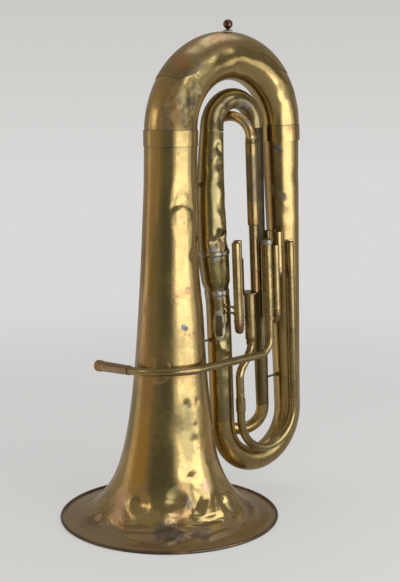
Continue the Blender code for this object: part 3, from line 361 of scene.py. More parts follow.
def rowsSkin(name, rows, material, closed=True, loop=False, caps=False, matrix=Matrix.Identity(4)):
    # joins rows of points: closed rows are rings, a row of one point is a pole, and loop joins the last row to
    # the first
    form = bmesh.new()
    sides = max(len(row) for row in rows)
    grid = []
    for row in rows:
        corners = [form.verts.new(point) for point in row]
        grid.append(corners * sides if len(corners) == 1 else corners)
    for one, two in list(zip(grid, grid[1:])) + ([(grid[-1], grid[0])] if loop else []):
        for step in range(sides if closed else sides - 1):
            following = (step + 1) % sides
            corners = list(dict.fromkeys((one[step], one[following], two[following], two[step])))
            if len(corners) > 2:
                form.faces.new(corners).smooth = True
    if caps:
        form.faces.new(grid[0])
        form.faces.new(grid[-1])
    bmesh.ops.recalc_face_normals(form, faces=form.faces)
    form.transform(matrix)
    return meshOf(form, name, material)


def ringPoints(wide, tall, sides):
    # an oval's points round its middle, from its half width and half height
    turns = [2.0 * math.pi * step / sides for step in range(sides)]
    return [(wide * math.cos(turn), tall * math.sin(turn)) for turn in turns]


def latheSkin(name, profile, sides, matrix, material, loop=False):
    # profile of (radius, height) in millimetres, turned round the matrix's Z
    rows = []
    for radius, height in profile:
        ring = ringPoints(radius * mm, radius * mm, sides) if radius > 0.001 else [(0.0, 0.0)]
        rows.append([(x, y, height * mm) for x, y in ring])
    return rowsSkin(name, rows, material, loop=loop, matrix=matrix)


def marksOn(place, rows, edge=1.0):
    # dents of (place, size, depth) and creases of (place, place, size, depth), in millimetres
    marks = []
    for *ends, size, depth in rows:
        ends = [place(*end) for end in ends]
        marks.append((ends[0], ends[-1] - ends[0], size * mm, depth, edge))
    return marks


def markPush(point, mark):
    # how far one dent or crease presses a point in, in millimetres
    at, run, size, depth, edge = mark
    share = 0.0
    if run.length_squared > 0.0:
        share = max(0.0, min(1.0, (point - at).dot(run) / run.length_squared))
    away = (point - at - run * share).length / size
    if away >= 1.0:
        return 0.0
    if run.length_squared == 0.0:
        return depth * (1.0 - away ** 2) ** 2
    return depth * (1.0 - abs(2.0 * share - 1.0) ** 3 * 0.7) * (1.0 - away) ** edge


def press(mesh, marks, wave, grainSize=0.045):
    # hammer waves, dents and creases, all pushed inward from the skin
    places = []
    for vertex in mesh.vertices:
        point = vertex.co.copy()
        slow = noise.noise(point / grainSize)
        quick = noise.noise(point / (grainSize * 0.3) + Vector((7.0, 3.0, 5.0)))
        push = 0.25 + wave * (0.5 + 0.5 * slow) + wave * 0.22 * (0.5 + 0.5 * quick)
        for mark in marks:
            push += markPush(point, mark)
        places.append(point - vertex.normal * push * mm)
    for vertex, point in zip(mesh.vertices, places):
        vertex.co = point
    mesh.update()


def sheetWall(name, mesh, wall, offset=-1.0):
    # gives a skin its wall, inward at offset -1, outward at 1
    holder = placed(name, mesh)
    shell = holder.modifiers.new("wall", "SOLIDIFY")
    shell.thickness = wall * mm
    shell.offset = offset
    return evaluated(holder)


def finish(node, mesh, slot="aged_brass", body="horn"):
    mesh.set_sharp_from_angle(angle=math.radians(38.0))
    piece = placed(node + "_dressed", mesh)
    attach(piece, body)
    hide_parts(node)


def outwardSkin(mesh, points):
    # turns a tube's skin right side out
    middle = points[len(points) // 2]
    face = min(mesh.polygons, key=lambda p: (p.center - middle).length)
    nearest = min(points, key=lambda p: (p - face.center).length)
    if face.normal.dot(face.center - nearest) < 0.0:
        mesh.flip_normals()


def tubePiece(node, points, radii, paint, sides=48, wave=0.12, wall=0.8, marks=(), slot="aged_brass", spacing=5.0,
              bend=Vector, body="horn"):
    path, widths = closer(points, radii, spacing * mm)
    mesh = tubeSkin(node, [bend(point) for point in path], widths, sides, paint)
    outwardSkin(mesh, points)
    press(mesh, marks, wave)
    finish(node, sheetWall(node, mesh, wall), slot, body)


def leaningPiece(node, at, rings, paint, scale=1.0, **look):
    # a straight leaning tube from rings of (height, radius)
    points = [spot(*at, height) for height, radius in rings]
    tubePiece(node, points, [radius * scale for height, radius in rings], paint, **look)


def bandPiece(node, low, axis, inner, outer, height, paint, sides=96, chamfer=0.35):
    # a turned band, its section drawn from the lower inner edge round
    profile = [
        (inner, 0.0), (outer - chamfer, 0.0), (outer, chamfer), (outer, height - chamfer),
        (outer - chamfer, height), (inner, height),
    ]
    finish(node, latheSkin(node, profile, sides, standing(low, axis), paint, loop=True))


# Bell

bell = {
    "rim": 208.5, "throat": 51.2, "flareHeight": 650.0, "lead": 25.0, "power": 0.5, "top": 737.0, "drift": 7.0,
    "foot": 2.4, "wall": 0.9, "rings": 186, "sides": 240, "underside": 1.2,
    "brimDrop": 4.5, "brimReach": 34.0, "brimAt": 164.0, "brimFloor": 5.5,
    "bulge": 5.0, "bulgeTop": 500.0, "bulgeTopFade": 110.0, "bulgeFoot": 110.0, "bulgeFootFade": 100.0,
    "wireRadius": 3.0, "wireFlat": 0.6, "wireSeat": 0.2,
    "band": 29.5, "bandRise": 2.0, "bandInner": 51.3, "bandOuter": 52.0,
}


def bellRadius(z):
    if z >= bell["flareHeight"]:
        return bell["throat"]
    lead, foot = bell["lead"], bell["foot"]
    rest = (lead / (bell["flareHeight"] - foot + lead)) ** bell["power"]
    here = (lead / (max(z - foot, 0.0) + lead)) ** bell["power"]
    return bell["throat"] + (bell["rim"] - bell["throat"]) * (here - rest) / (1.0 - rest)


def bellAxis(z):
    return bellX + bell["drift"] * mm * (z / bell["top"]) ** 2


def onBell(turn, z):
    return aroundTube(Vector((bellAxis(z), 0.0, z * mm)), bellRadius(z), turn)


bellMarks = marksOn(onBell, [
    ((0, 610), (28, 621), 7, 2.0), ((28, 621), (58, 606), 7, 2.0), ((0, 606), (24, 556), 12, 0.6),
    ((58, 602), (36, 556), 12, 0.6), ((6, 612), (24, 664), 12, 0.9), ((52, 612), (36, 660), 12, 0.9),
    ((31, 588), 6, 1.3), ((36, 642), 7, 0.6), ((26, 514), 6, 1.2), ((56, 520), 16, 2.4),
    ((20, 470), 40, 0.8), ((50, 420), 34, 1.0), ((28, 238), 11, 2.2), ((46, 242), 8, 1.2),
    ((14, 190), 32, 1.2), ((36, 168), 16, 1.0), ((-20, 300), 38, 0.8), ((-40, 200), 40, 1.0),
    ((60, 196), 10, 1.2), ((56, 130), 12, 1.4), ((40, 196), 9, 0.9), ((24, 112), (34, 74), 22, 5.0),
    ((34, 74), (22, 46), 20, 7.5), ((22, 46), (2, 38), 16, 5.0), ((8, 66), 30, 5.0),
    ((2, 36), (28, 32), 11, 6.5), ((28, 32), (46, 32), 11, 7.0), ((46, 32), (54, 62), 12, -3.5),
    ((54, 62), (80, 42), 12, -3.5), ((55, 58), (58, 26), 15, 6.0), ((58, 26), (76, 36), 12, 5.0),
    ((80, 42), (66, 22), 11, -3.0), ((68, 100), (86, 40), 16, 4.5), ((86, 40), (96, 18), 13, 5.0),
    ((96, 18), (72, 14), 12, -3.0), ((-50, 50), (-34, 26), 16, -4.0), ((-50, 26), (-34, 20), 12, 6.0),
    ((-34, 21), (-12, 25), 11, 6.0), ((-12, 26), (4, 31), 11, 5.0), ((4, 30), (18, 24), 12, 6.0),
    ((-26, 60), 26, 5.0), ((-8, 48), 24, -2.0), ((-70, 18), (-62, 28), 9, -4.2),
    ((-62, 28), (-54, 18), 9, 5.2), ((-54, 18), (-46, 26), 9, -4.0), ((-24, 16), (-8, 12), 10, 4.4),
    ((6, 14), (20, 19), 10, 5.0), ((24, 12), (44, 16), 10, -3.6), ((-2, 10), (10, 18), 9, -3.6),
    ((48, 12), (62, 20), 10, 4.4),
]) + marksOn(onBell, [
    ((130, 40), (150, 16), 20, 4.0), ((-130, 60), 40, 3.0), ((180, 120), 44, 3.0),
    ((-110, 30), (-100, 12), 16, 3.0),
], 1.3)


def bellHeights():
    # ring heights spaced evenly along the flare's own curve, and closer where the brim is crumpled
    foot, span = bell["foot"], bell["top"] - 0.15 - bell["foot"]
    fine = [foot + span * (step / 4000.0) ** 2 for step in range(4001)]
    runs = [0.0]
    for low, high in zip(fine, fine[1:]):
        closeness = 1.7 if low < 110.0 else 0.75
        runs.append(runs[-1] + closeness * math.hypot(high - low, bellRadius(low) - bellRadius(high)))
    heights, step = [], 0
    for ring in range(bell["rings"] + 1):
        while step < len(runs) - 1 and runs[step] < runs[-1] * ring / bell["rings"]:
            step += 1
        heights.append(fine[step])
    return heights


def clamped(value):
    return min(max(value, 0.0), 1.0)


def makeBell(paint):
    profile = [(bellRadius(z), z) for z in bellHeights()]
    mesh = latheSkin("bellSkin", profile, bell["sides"], Matrix.Identity(4), paint)
    for vertex in mesh.vertices:
        z = vertex.co.z / mm
        radius = math.hypot(vertex.co.x, vertex.co.y) / mm
        turn = math.atan2(vertex.co.y, vertex.co.x) - cameraTurn
        away = (radius - bell["brimAt"]) / bell["brimReach"]
        if abs(away) < 1.0:         # the brim has been stood on and lies flatter than it was spun
            drop = bell["brimDrop"] * (0.62 + 0.38 * math.cos(turn - 0.2)) * (1.0 - away * away)
            vertex.co.z -= min(drop, max(z - bell["brimFloor"], 0.0)) * mm
        # the right side of the lower bell stands a little wider
        share = clamped((bell["bulgeTop"] - z) / bell["bulgeTopFade"])
        share *= clamped((z - bell["bulgeFoot"]) / bell["bulgeFootFade"])
        wider = bell["bulge"] * share * share * (3.0 - 2.0 * share) * max(math.sin(turn), 0.0) ** 2
        vertex.co += Vector((vertex.co.x, vertex.co.y, 0.0)).normalized() * wider * mm
        vertex.co.x += bellAxis(z)
    mesh.update()
    outward = sum(p.normal.dot(Vector((p.center.x - bellX, p.center.y, 0.0))) for p in mesh.polygons)
    if outward < 0.0:
        mesh.flip_normals()
    press(mesh, bellMarks, 0.3, 0.075)
    for vertex in mesh.vertices:
        vertex.co.z = max(vertex.co.z, bell["underside"] * mm)
    finish("bell", sheetWall("bellSheet", mesh, bell["wall"]))


def makeRimWire(paint):
    wire, flat = bell["wireRadius"], bell["wireFlat"]
    middle = bell["rim"] + bell["wireSeat"] + wire
    edge = math.acos((wire - flat) / wire)
    profile = []
    for step in range(19):
        angle = -math.pi / 2.0 + edge + (2.0 * math.pi - 2.0 * edge) * step / 18
        profile.append((middle + wire * math.cos(angle), wire - flat + wire * math.sin(angle)))
    place = Matrix.Translation((bellX, 0.0, 0.0))
    finish("bell_rim_wire", latheSkin("rimWire", profile, 220, place, paint, loop=True), "dark_brass")


bellPaint = agedBrass(
    "bellBrass", tarnish=0.7, copper=0.12, roughness=0.15, grime=0.55, cloudScale=8.0, on=onBell,
    bands=[(-20, 21, "brim", 0.85)], lines=[(straightUp, 723.6, 1.1)],
    blooms=[
        # the pale peach blooms are painted highlights, and the wide dark olive bloom over the front is painted
        # shade
        ((28, 388), 12, "blue", 1.0), ((31, 382), 10, "smoke", 0.7), ((2, 24), 70, "smoke", 0.95),
        ((26, 20), 50, "smoke", 0.7), ((-60, 20), 60, "brown", 0.5), ((-36, 420), 40, "copper", 0.8),
        ((-44, 330), 50, "smoke", 0.4), ((-50, 60), 50, "highlightPeach", 0.9), ((34, 238), 12, "highlightPeach", 1.0),
        ((42, 84), 26, "highlightPeach", 0.8), ((10, 330), 100, "duskShadeAndTarnish", 0.35), ((-44, 34), 40, "highlightPeach", 1.0),
        ((20, 62), 30, "smoke", 0.8), ((64, 40), 36, "smoke", 0.7), ((86, 26), 40, "smoke", 0.7),
        ((34, 22), 22, "amber", 0.9), ((60, 22), 18, "amber", 0.8), ((-20, 13), 30, "amber", 0.5),
        ((-60, 24), 18, "highlightPeach", 0.8),
    ],
    streaks=[
        # the pale peach streaks on the left side are painted highlights and painted reflection; the dark olive
        # streaks on the front are painted shade and dark reflection, and those round the back are dark tarnish
        ((-52, 600), 30, 200, "rust", 0.75), ((-78, 640), 20, 160, "highlightPeach", 0.8),
        ((-66, 380), 28, 220, "highlightPeach", 0.65), ((-38, 330), 34, 300, "rust", 0.7),
        ((-40, 150), 40, 200, "amber", 0.95), ((-66, 190), 20, 160, "duskShadeAndTarnish", 0.8),
        ((-6, 180), 55, 280, "duskShadeAndTarnish", 0.85), ((-4, 80), 50, 90, "duskShadeAndTarnish", 0.9),
        ((-8, 520), 34, 260, "duskShadeAndTarnish", 0.8), ((24, 190), 38, 150, "duskShadeAndTarnish", 0.95),
        # the near-black streaks down the right edge are painted shade where the bell meets the left branch
        ((88, 640), 13, 160, "shadeBlack", 0.95), ((88, 480), 14, 120, "shadeBlack", 0.95),
        ((88, 360), 15, 90, "shadeBlack", 0.95), ((88, 285), 15, 60, "shadeBlack", 0.9),
        ((46, 190), 26, 70, "duskShadeAndTarnish", 0.6), ((-26, 420), 30, 300, "duskShadeAndTarnish", 0.8),
        ((-60, 500), 12, 100, "smoke", 0.5), ((76, 300), 24, 400, "duskShadeAndTarnish", 0.6),
        ((60, 180), 30, 140, "amber", 0.5), ((120, 430), 50, 300, "rust", 0.5),
        ((200, 380), 60, 340, "duskShadeAndTarnish", 0.6), ((160, 200), 60, 220, "amber", 0.6),
        ((-130, 420), 50, 260, "rust", 0.6), ((-120, 160), 50, 200, "duskShadeAndTarnish", 0.6),
    ],
)
wirePaint = agedBrass("rimWireBrass", "brown", (0.10, 0.09, 0.07), tarnish=0.9, grime=0.45, roughness=0.34)
bandPaint = agedBrass("ferruleBrass", tarnish=0.6, copper=0.14, grime=0.45, roughness=0.12)

makeBell(bellPaint)
makeRimWire(wirePaint)
bandLow = bell["top"] + bell["bandRise"] - bell["band"] / 2.0
bandPiece("bell_ferrule", Vector((bellAxis(bandLow), 0.0, bandLow * mm)), straightUp, bell["bandInner"],
          bell["bandOuter"], bell["band"], bandPaint, chamfer=0.25)
print("bell done")


# Top bow, guard and finial

top = {
    "outerAcross": 335.1, "branchTop": 726.0, "straight": 18.0, "throat": 51.2, "smallEnd": 39.2, "taper": 1.35,
    "rise": 0.975, "skin": 0.992, "band": 31.0, "bandRise": 1.6, "bandInner": 39.3, "bandOuter": 40.0,
    "guardFrom": 32.0, "guardTo": 141.0, "guardWrap": 70.0, "guardLift": 0.5, "guardWall": 0.8,
}
branchTop = spot(top["outerAcross"], 0.0, top["branchTop"])
bowLeft = bellAxis(bell["top"])
bowRight = branchTop + upward * top["straight"] * mm
bowRadius = (bowRight.x - bowLeft) / (1.0 + math.cos(leanAngle))
bowCentre = Vector((bowLeft + bowRadius, 0.0, bowRight.z - bowRadius * math.sin(leanAngle)))
branchBand = branchTop + upward * (top["bandRise"] - top["band"] / 2.0) * mm


def topBowRadius(turn):
    share = (turn / math.pi) ** top["taper"]
    return (top["throat"] + (top["smallEnd"] - top["throat"]) * share) * top["skin"]


def bowSpine(turn):
    return bowCentre + Vector((-math.cos(turn), 0.0, top["rise"] * math.sin(turn))) * bowRadius


def onTopBow(turn, wrap, lift=0.0):
    # turn runs over the bow from the bell, wrap from its outer side toward the front
    turn, wrap = math.radians(turn), math.radians(wrap)
    outward = Vector((-top["rise"] * math.cos(turn), 0.0, math.sin(turn))).normalized()
    radius = (topBowRadius(turn) + lift) * mm
    return bowSpine(turn) + (outward * math.cos(wrap) - inward * math.sin(wrap)) * radius


topBowMarks = marksOn(onTopBow, [
    ((26, 66), 30, 3.2), ((30, 84), 18, 2.6), ((10, 60), 16, 1.6), ((38, 62), (26, 86), 12, 3.6),
    ((26, 86), (10, 92), 11, 3.2), ((26, 86), (34, 104), 10, 2.6), ((20, 60), (14, 78), 10, 2.4),
    ((14, 78), (4, 84), 9, 2.0), ((42, 70), (52, 84), 10, 1.6), ((16, 36), (28, 44), 9, 1.2),
    ((18, 52), 9, 1.4), ((13, 44), 8, 1.2), ((56, 20), 26, 1.8), ((72, 84), 30, 1.2), ((100, 70), 26, 1.2),
    ((118, 60), 22, 1.4), ((146, 96), 26, 1.8), ((90, 120), 24, 1.2), ((20, -80), 30, 2.4),
    ((120, -90), 34, 1.8), ((160, 60), 20, 1.2),
])
topBowPaint = agedBrass(
    "topBowBrass", tarnish=0.75, copper=0.06, roughness=0.16, grime=0.45, cloudScale=6.0, on=onTopBow,
    blooms=[
        # the dark olive blooms and the smoke blooms over the front of the left limb, crown and right end are
        # painted shade that dims the highlight
        ((24, 74), 60, "duskShadeAndTarnish", 0.9), ((12, 66), 50, "smoke", 0.7), ((22, 20), 50, "rust", 0.8),
        ((20, 84), 30, "smoke", 0.8), ((50, 84), 50, "duskShadeAndTarnish", 0.8), ((36, 88), 40, "duskShadeAndTarnish", 0.9),
        ((150, 70), 50, "duskShadeAndTarnish", 0.7),
    ],
    # the pale peach streak is a painted highlight
    streaks=[((4, 40), 22, 100, "highlightPeach", 0.8), ((10, 56), 16, 90, "rust", 0.8)],
    lines=[(straightUp, 754.6, 1.1), (upward, branchBand.dot(upward) / mm + top["band"] + 1.0, 1.2)],
)
guardPaint = agedBrass(
    "guardBrass", (0.56, 0.42, 0.20), copper=0.14, roughness=0.24, grime=0.55, on=onTopBow,
    blooms=[((40, 66), 60, "brown", 0.8), ((44, 20), 50, "copper", 0.8), ((60, 0), 50, "copper", 0.5)],
)
bowTurns = [(math.pi - leanAngle) * step / 96 for step in range(97)]
bowPath = [bowSpine(turn) for turn in bowTurns]
bowRadii = [topBowRadius(turn) for turn in bowTurns]
bowPath = [Vector((bowPath[0].x, 0.0, (bell["top"] + 0.15) * mm))] + bowPath + [branchTop + upward * 0.3 * mm]
bowRadii = [bowRadii[0]] + bowRadii + [bowRadii[-1]]
tubePiece("top_bow", bowPath, bowRadii, topBowPaint, sides=110, wave=0.5, wall=0.9, marks=topBowMarks)
bandPiece("branch_ferrule", branchBand, upward, top["bandInner"], top["bandOuter"], top["band"], bandPaint,
          chamfer=0.25)


def makeGuard(paint):
    rows, wraps = 74, 40
    grid = []
    for row in range(rows + 1):
        share = row / rows
        turn = top["guardFrom"] + (top["guardTo"] - top["guardFrom"]) * share
        narrow = 1.0 - 0.42 * max(0.0, 1.0 - min(share, 1.0 - share) / 0.10) ** 1.5      # rounded corners
        reach = top["guardWrap"] * narrow
        grid.append([
            onTopBow(turn, reach * (2.0 * step / wraps - 1.0), top["guardLift"]) for step in range(wraps + 1)
        ])
    mesh = rowsSkin("guardSheet", grid, paint, closed=False)
    face = mesh.polygons[len(mesh.polygons) // 2]
    if face.normal.dot(face.center - bowCentre) < 0.0:
        mesh.flip_normals()
    press(mesh, topBowMarks, 0.5)
    finish("top_bow_guard", sheetWall("guardSheet", mesh, top["guardWall"], 1.0))


makeGuard(guardPaint)

finial = {"ball": 9.3, "neck": 2.6, "foot": 10.0, "base": 2.6, "seat": 0.3, "neckLength": 0.6}


def makeFinial(paint):
    # one dark fitting, base and ball
    seat = Matrix.Translation((bowCentre.x, 0.0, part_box("finial_base")[0].z))
    foot, neck, base, ball = finial["foot"], finial["neck"], finial["base"], finial["ball"]
    profile = [
        (0.0, base), (neck * 1.6, base), (neck * 2.0, base * 0.85), (foot * 0.8, base * 0.5),
        (foot, base * 0.35), (foot, 0.0), (0.0, 0.0),
    ]
    finish("finial_base", latheSkin("finialBase", profile, 40, seat, paint))
    bottom = base + finial["seat"]
    tip = math.asin(neck / ball)
    middle = bottom + finial["neckLength"] + ball * math.cos(tip)
    angles = [(math.pi - tip) * step / 24 for step in range(25)]
    profile = [(ball * math.sin(angle), middle + ball * math.cos(angle)) for angle in angles]
    profile += [(neck, bottom), (0.0, bottom)]
    finish("finial_ball", latheSkin("finialBall", profile, 48, seat, paint), "copper_brown_brass")


copperPaint = agedBrass("copperBrownBrass", (0.44, 0.29, 0.16), "brown", tarnish=0.6, copper=0.2, roughness=0.26)
finialPaint = agedBrass("finialBrass", (0.24, 0.12, 0.07), (0.10, 0.06, 0.04), copper=0.05, grime=0.6,
                        roughness=0.16)
makeFinial(finialPaint)
print("top bow done")


# Outer branch, bottom bow and left branch

branch = {
    "bowAcross": 242.2, "bowHeight": 150.5, "bowRadius": 92.9, "seam": -97.0, "seamTube": 26.6, "seamGap": 0.15,
    "outerTube": 28.8, "outerFoot": 219.0, "outerTop": 38.0, "leftTube": 25.0, "leftFoot": 162.5,
    "neck": 425.0, "neckTube": 25.1, "mouth": 506.0, "skin": 0.992, "gap": 0.3,
    "archLeft": 23.9, "archRight": 18.0, "innerBow": 746.2, "archSeat": 3.7, "rearAcross": 262.4,
    "bowed": 10.2, "bowedFrom": 398.0, "lowerRing": (24.2, 25.3, 13.0), "upperRing": (30.9, 33.0, 13.0),
}
leftAcross = branch["bowAcross"] - branch["bowRadius"]
outerAcross = branch["bowAcross"] + branch["bowRadius"]
rearAcross, innerBow, skin, gap = branch["rearAcross"], branch["innerBow"], branch["skin"], branch["gap"]
leftAt, outerAt, rearAt = (leftAcross, 0.0), (outerAcross, 0.0), (rearAcross, 0.0)
seamAngle = math.radians(branch["seam"])
archFoot = innerBow - branch["archSeat"] - gap


def leftBend(point):
    # the left branch has been pushed toward the bell between its neck and the inner arch
    height = (point - spot(0.0, 0.0, 0.0)).dot(upward) / mm
    share = (height - branch["bowedFrom"]) / (innerBow + 2.0 - branch["bowedFrom"])
    if not 0.0 < share < 1.0:
        return point.copy()
    return point - sideward * branch["bowed"] * math.sin(math.pi * share) * mm


def onOuter(turn, height, radius):
    return onTube(*outerAt, height, radius, turn)


def onLeft(turn, height, radius=25.0):
    return leftBend(onTube(*leftAt, height, radius, turn))


def onBottom(angle, front=0.0):
    # along the bottom bow's axis, or in front of it
    reach = branch["bowRadius"]
    across = branch["bowAcross"] + reach * math.cos(angle)
    return spot(across, -front, branch["bowHeight"] + reach * math.sin(angle))


branchPaint = agedBrass(
    "branchBrass", copper=0.08, on=onOuter,
    blooms=[
        ((-14, 698, 37), 12, "blue", 1.0), ((-4, 690, 37), 12, "smoke", 1.0),
        ((-30, 612, 36), 22, "smoke", 1.0), ((-4, 600, 36), 22, "smoke", 0.9),
    ],
    streaks=[
        # the dark olive streaks at the front left and the brown streak down the left edge are painted dark
        # reflection of the dark tubes beside the branch
        ((-45, 620, 36), 20, 220, "rust", 0.9), ((-16, 560, 36), 18, 200, "duskShadeAndTarnish", 0.9),
        ((-30, 380, 33), 22, 220, "duskShadeAndTarnish", 0.9), ((-90, 640, 36), 26, 260, "brown", 0.9),
        ((150, 450, 34), 34, 300, "rust", 0.6),
    ],
)
lowerPaint = agedBrass("bottomBowBrass", (0.58, 0.41, 0.16), copper=0.14, grime=0.45, on=onBottom,
                       blooms=[((seamAngle,), 40, "bright", 0.4)])
leftPaint = agedBrass(
    "leftBranchBrass", (0.46, 0.37, 0.17), (0.26, 0.21, 0.09), tarnish=0.85, copper=0.06, grime=0.55, coat=0.4,
    on=onLeft,
    blooms=[
        ((10, 506, 30), 36, "grey", 0.8), ((10, 425, 23), 26, "grey", 0.8),
        # the dark olive bloom on the funnel is painted shade
        ((40, 522, 29), 22, "copper", 0.7), ((30, 468, 30), 50, "duskShadeAndTarnish", 0.9),
    ],
    streaks=[
        # the dark olive streaks and the brown streak down the side toward the bell are painted shade
        ((-50, 260), 18, 240, "amber", 0.8), ((-20, 620), 22, 160, "duskShadeAndTarnish", 0.8),
        ((-84, 600), 16, 340, "brown", 0.9), ((86, 470), 14, 100, "duskShadeAndTarnish", 0.8),
    ],
)
solderPaint = agedBrass("greySolder", "grey", (0.28, 0.28, 0.25), tarnish=0.7, copper=0.02, grime=0.35,
                        roughness=0.32, relief=0.6, metallic=0.8)
ringPaint = agedBrass("ringSolder", "grey", tarnish=0.9, copper=0.08, cloudScale=34.0, patchScale=40.0,
                      roughness=0.3, relief=0.7)

leaningPiece(
    "outer_branch", outerAt,
    [(branch["outerFoot"] + gap, branch["outerTube"]), (top["branchTop"], branch["outerTop"])], branchPaint, skin,
    sides=88, wave=0.45, wall=0.9, marks=marksOn(onOuter, [
        ((10, 560, 34), 26, 1.4), ((-20, 470, 33), 24, 1.2), ((20, 300, 30), 22, 1.0),
        ((60, 640, 35), 26, 1.4), ((150, 420, 32), 26, 1.6),
    ]),
)
seamPoint = onBottom(seamAngle)
seamStep = leanStep(math.sin(seamAngle), 0.0, -math.cos(seamAngle)).normalized() * branch["seamGap"] * mm
rightPath = [spot(*outerAt, branch["outerFoot"])]
rightPath += [onBottom(seamAngle * step / 40) for step in range(40)] + [seamPoint - seamStep]
leftPath = [seamPoint + seamStep]
leftPath += [onBottom(seamAngle - (math.pi + seamAngle) * step / 40) for step in range(1, 41)]
leftPath.append(spot(*leftAt, branch["leftFoot"] - gap))
for node, path, start, end, mark in (
    ("bottom_bow_outer", rightPath, branch["outerTube"], branch["seamTube"], ((-0.9, 26), 22, 1.3)),
    ("bottom_bow_inner", leftPath, branch["seamTube"], branch["leftTube"], ((-2.6, 24), 20, 1.0)),
):
    tubePiece(node, path, alongPath(path, start, end, skin), lowerPaint, sides=80, wave=0.35, wall=0.9,
              marks=marksOn(onBottom, [mark]))

neck, mouth = branch["neck"], branch["mouth"]
leftLook = {"bend": leftBend, "wall": 0.9}
leaningPiece(
    "left_branch_lower", leftAt, [(branch["leftFoot"], branch["leftTube"]), (neck, branch["neckTube"])], leftPaint,
    skin, sides=80, wave=0.4, **leftLook, marks=marksOn(onLeft, [
        ((28, 330), 16, 2.6), ((52, 318), 13, 2.2), ((40, 346), 12, 1.4), ((24, 268), 22, 1.2),
        ((10, 236), 24, 1.0), ((44, 344, 23), (30, 318, 23), 8, -0.8),
        ((20, 330, 23), (40, 300, 23), 8, 1.2),
    ], 1.3),
)
leaningPiece(
    "left_branch_funnel", leftAt, [
        (neck + gap, 24.1), (neck + 8.1, 24.6), (neck + 22.0, 28.8), (mouth - 30.0, 30.6), (mouth - 7.8, 31.2),
        (mouth, 30.9),
    ], leftPaint, sides=80, wave=0.5, **leftLook, marks=marksOn(onLeft, [
        ((30, 480, 28), 22, 1.6), ((50, 452, 28), 16, 1.2), ((140, 470, 27), 22, 1.6),
    ]),
)
leaningPiece(
    "left_branch_upper", leftAt, [
        (mouth + gap, 30.9), (mouth + 10.4, 30.9), (mouth + 108.1, 28.6), (archFoot, 23.8),
    ], leftPaint, sides=90, wave=0.6, spacing=3.5, **leftLook, marks=marksOn(onLeft, [
        ((40, 538, 29), 20, 5.0), ((84, 530, 29), 15, 3.5), ((8, 528, 29), 16, 3.0),
        ((20, 556, 28), (44, 530, 28), 10, 3.0), ((44, 530, 28), (74, 548, 28), 10, 3.4),
        ((-10, 534, 28), (20, 524, 28), 9, 2.4), ((60, 600, 26), 24, 2.4),
        ((16, 640, 26), (34, 590, 26), 10, 1.8), ((50, 590, 27), (62, 560, 27), 9, 1.8),
        ((30, 720, 23.5), (66, 690, 23.5), 9, 2.0), ((34, 700, 23.5), (70, 706, 23.5), 9, 1.8),
        ((26, 676, 24), (60, 664, 24), 9, 1.8), ((50, 730, 23.5), (60, 700, 23.5), 8, -1.0),
        ((46, 682, 24), 17, 3.4), ((40, 712, 23.5), 15, 2.4), ((52, 650, 25), 20, 2.2),
        ((-40, 660, 25), 22, 1.4), ((180, 600, 26), 26, 2.4),
    ], 1.3),
)


def solderCollar(node, middle, ring, paint, lumps=0.8):
    # a band of solder whose edge and thickness wander; ring is its inner and outer radius and height
    inner, outer, height = ring
    half = height / 2.0
    profile = [(inner, -half)]
    for step in range(13):
        swell = (outer - inner - 0.2) * math.sin(math.pi * step / 12) ** 0.6
        profile.append((inner + 0.2 + swell, -half + height * step / 12))
    profile.append((inner, half))
    mesh = latheSkin(node, profile, 96, standing(middle, upward), paint, loop=True)
    for vertex in mesh.vertices:
        rough = noise.noise(vertex.co / 0.009) * 0.5 + noise.noise(vertex.co / 0.0035) * 0.2
        outwards = vertex.co - middle
        level = outwards.dot(upward) / (half * mm)
        outwards -= upward * outwards.dot(upward)
        share = max(0.0, (outwards.length / mm - inner) / (outer - inner))
        vertex.co -= outwards.normalized() * share * lumps * (0.5 + 0.5 * rough) * mm * 0.8
        vertex.co -= upward * level * (0.5 + noise.noise(outwards / 0.012)) * 0.12 * height * mm
    mesh.update()
    finish(node, mesh, "grey_solder")


solderCollar("lower_solder_ring", leftBend(spot(*leftAt, neck)), branch["lowerRing"], ringPaint)
solderCollar("upper_solder_ring", leftBend(spot(*leftAt, mouth)), branch["upperRing"], ringPaint)
print("branches done")


# Inner top bow, rear tubes, inner crook and riser

rear = {
    "leg": (180.0, 40.0), "riser": (217.5, -37.0), "legTube": 11.5, "bowHeight": 169.0, "seat": 4.3, "foot": 13.7,
    "crookTube": 10.2, "crookSeat": 3.7, "riserStep": 553.0, "narrow": 9.5, "wide": 11.6, "riserSeam": 10.0,
    "crookRing": (10.5, 12.0, 3.6), "plateTop": 420.0, "skin": 0.985,
}
legAt, riserAt, small = rear["leg"], rear["riser"], rear["skin"]
archPath = withEnds(bowPoints(spot(*leftAt, innerBow), spot(*rearAt, innerBow), upward, 60),
                    -upward * branch["archSeat"])
archMiddle = spot((leftAcross + rearAcross) / 2.0, 0.0, innerBow)


def onArch(turn, radius, front):
    angle = math.radians(turn)
    step = upward * math.sin(angle) - sideward * math.cos(angle)
    return archMiddle + step * radius * mm - inward * front * mm


# dark olive brass for the inner arch: its darker colour is painted shade, the arch standing back in shadow
innerArchShadedPaint = agedBrass(
    "innerArchShadedBrass", (0.37, 0.29, 0.135), (0.20, 0.155, 0.08), tarnish=0.85, roughness=0.22, grime=0.6, coat=0.4,
    on=onArch,
    blooms=[
        ((118, 44, 18), 24, "slate", 1.0), ((96, 46, 16), 18, "slate", 0.9), ((100, 38, 16), 14, "amber", 0.9),
    ],
)
archRadii = alongPath(archPath, branch["archLeft"], branch["archRight"], skin)
tubePiece("inner_top_bow", archPath, archRadii, innerArchShadedPaint, sides=80, wave=0.4, wall=0.9,
          marks=marksOn(onArch, [((30, 62, 18), 22, 1.8), ((60, 58, 20), 20, 1.4), ((14, 52, 20), 16, 1.6)]))

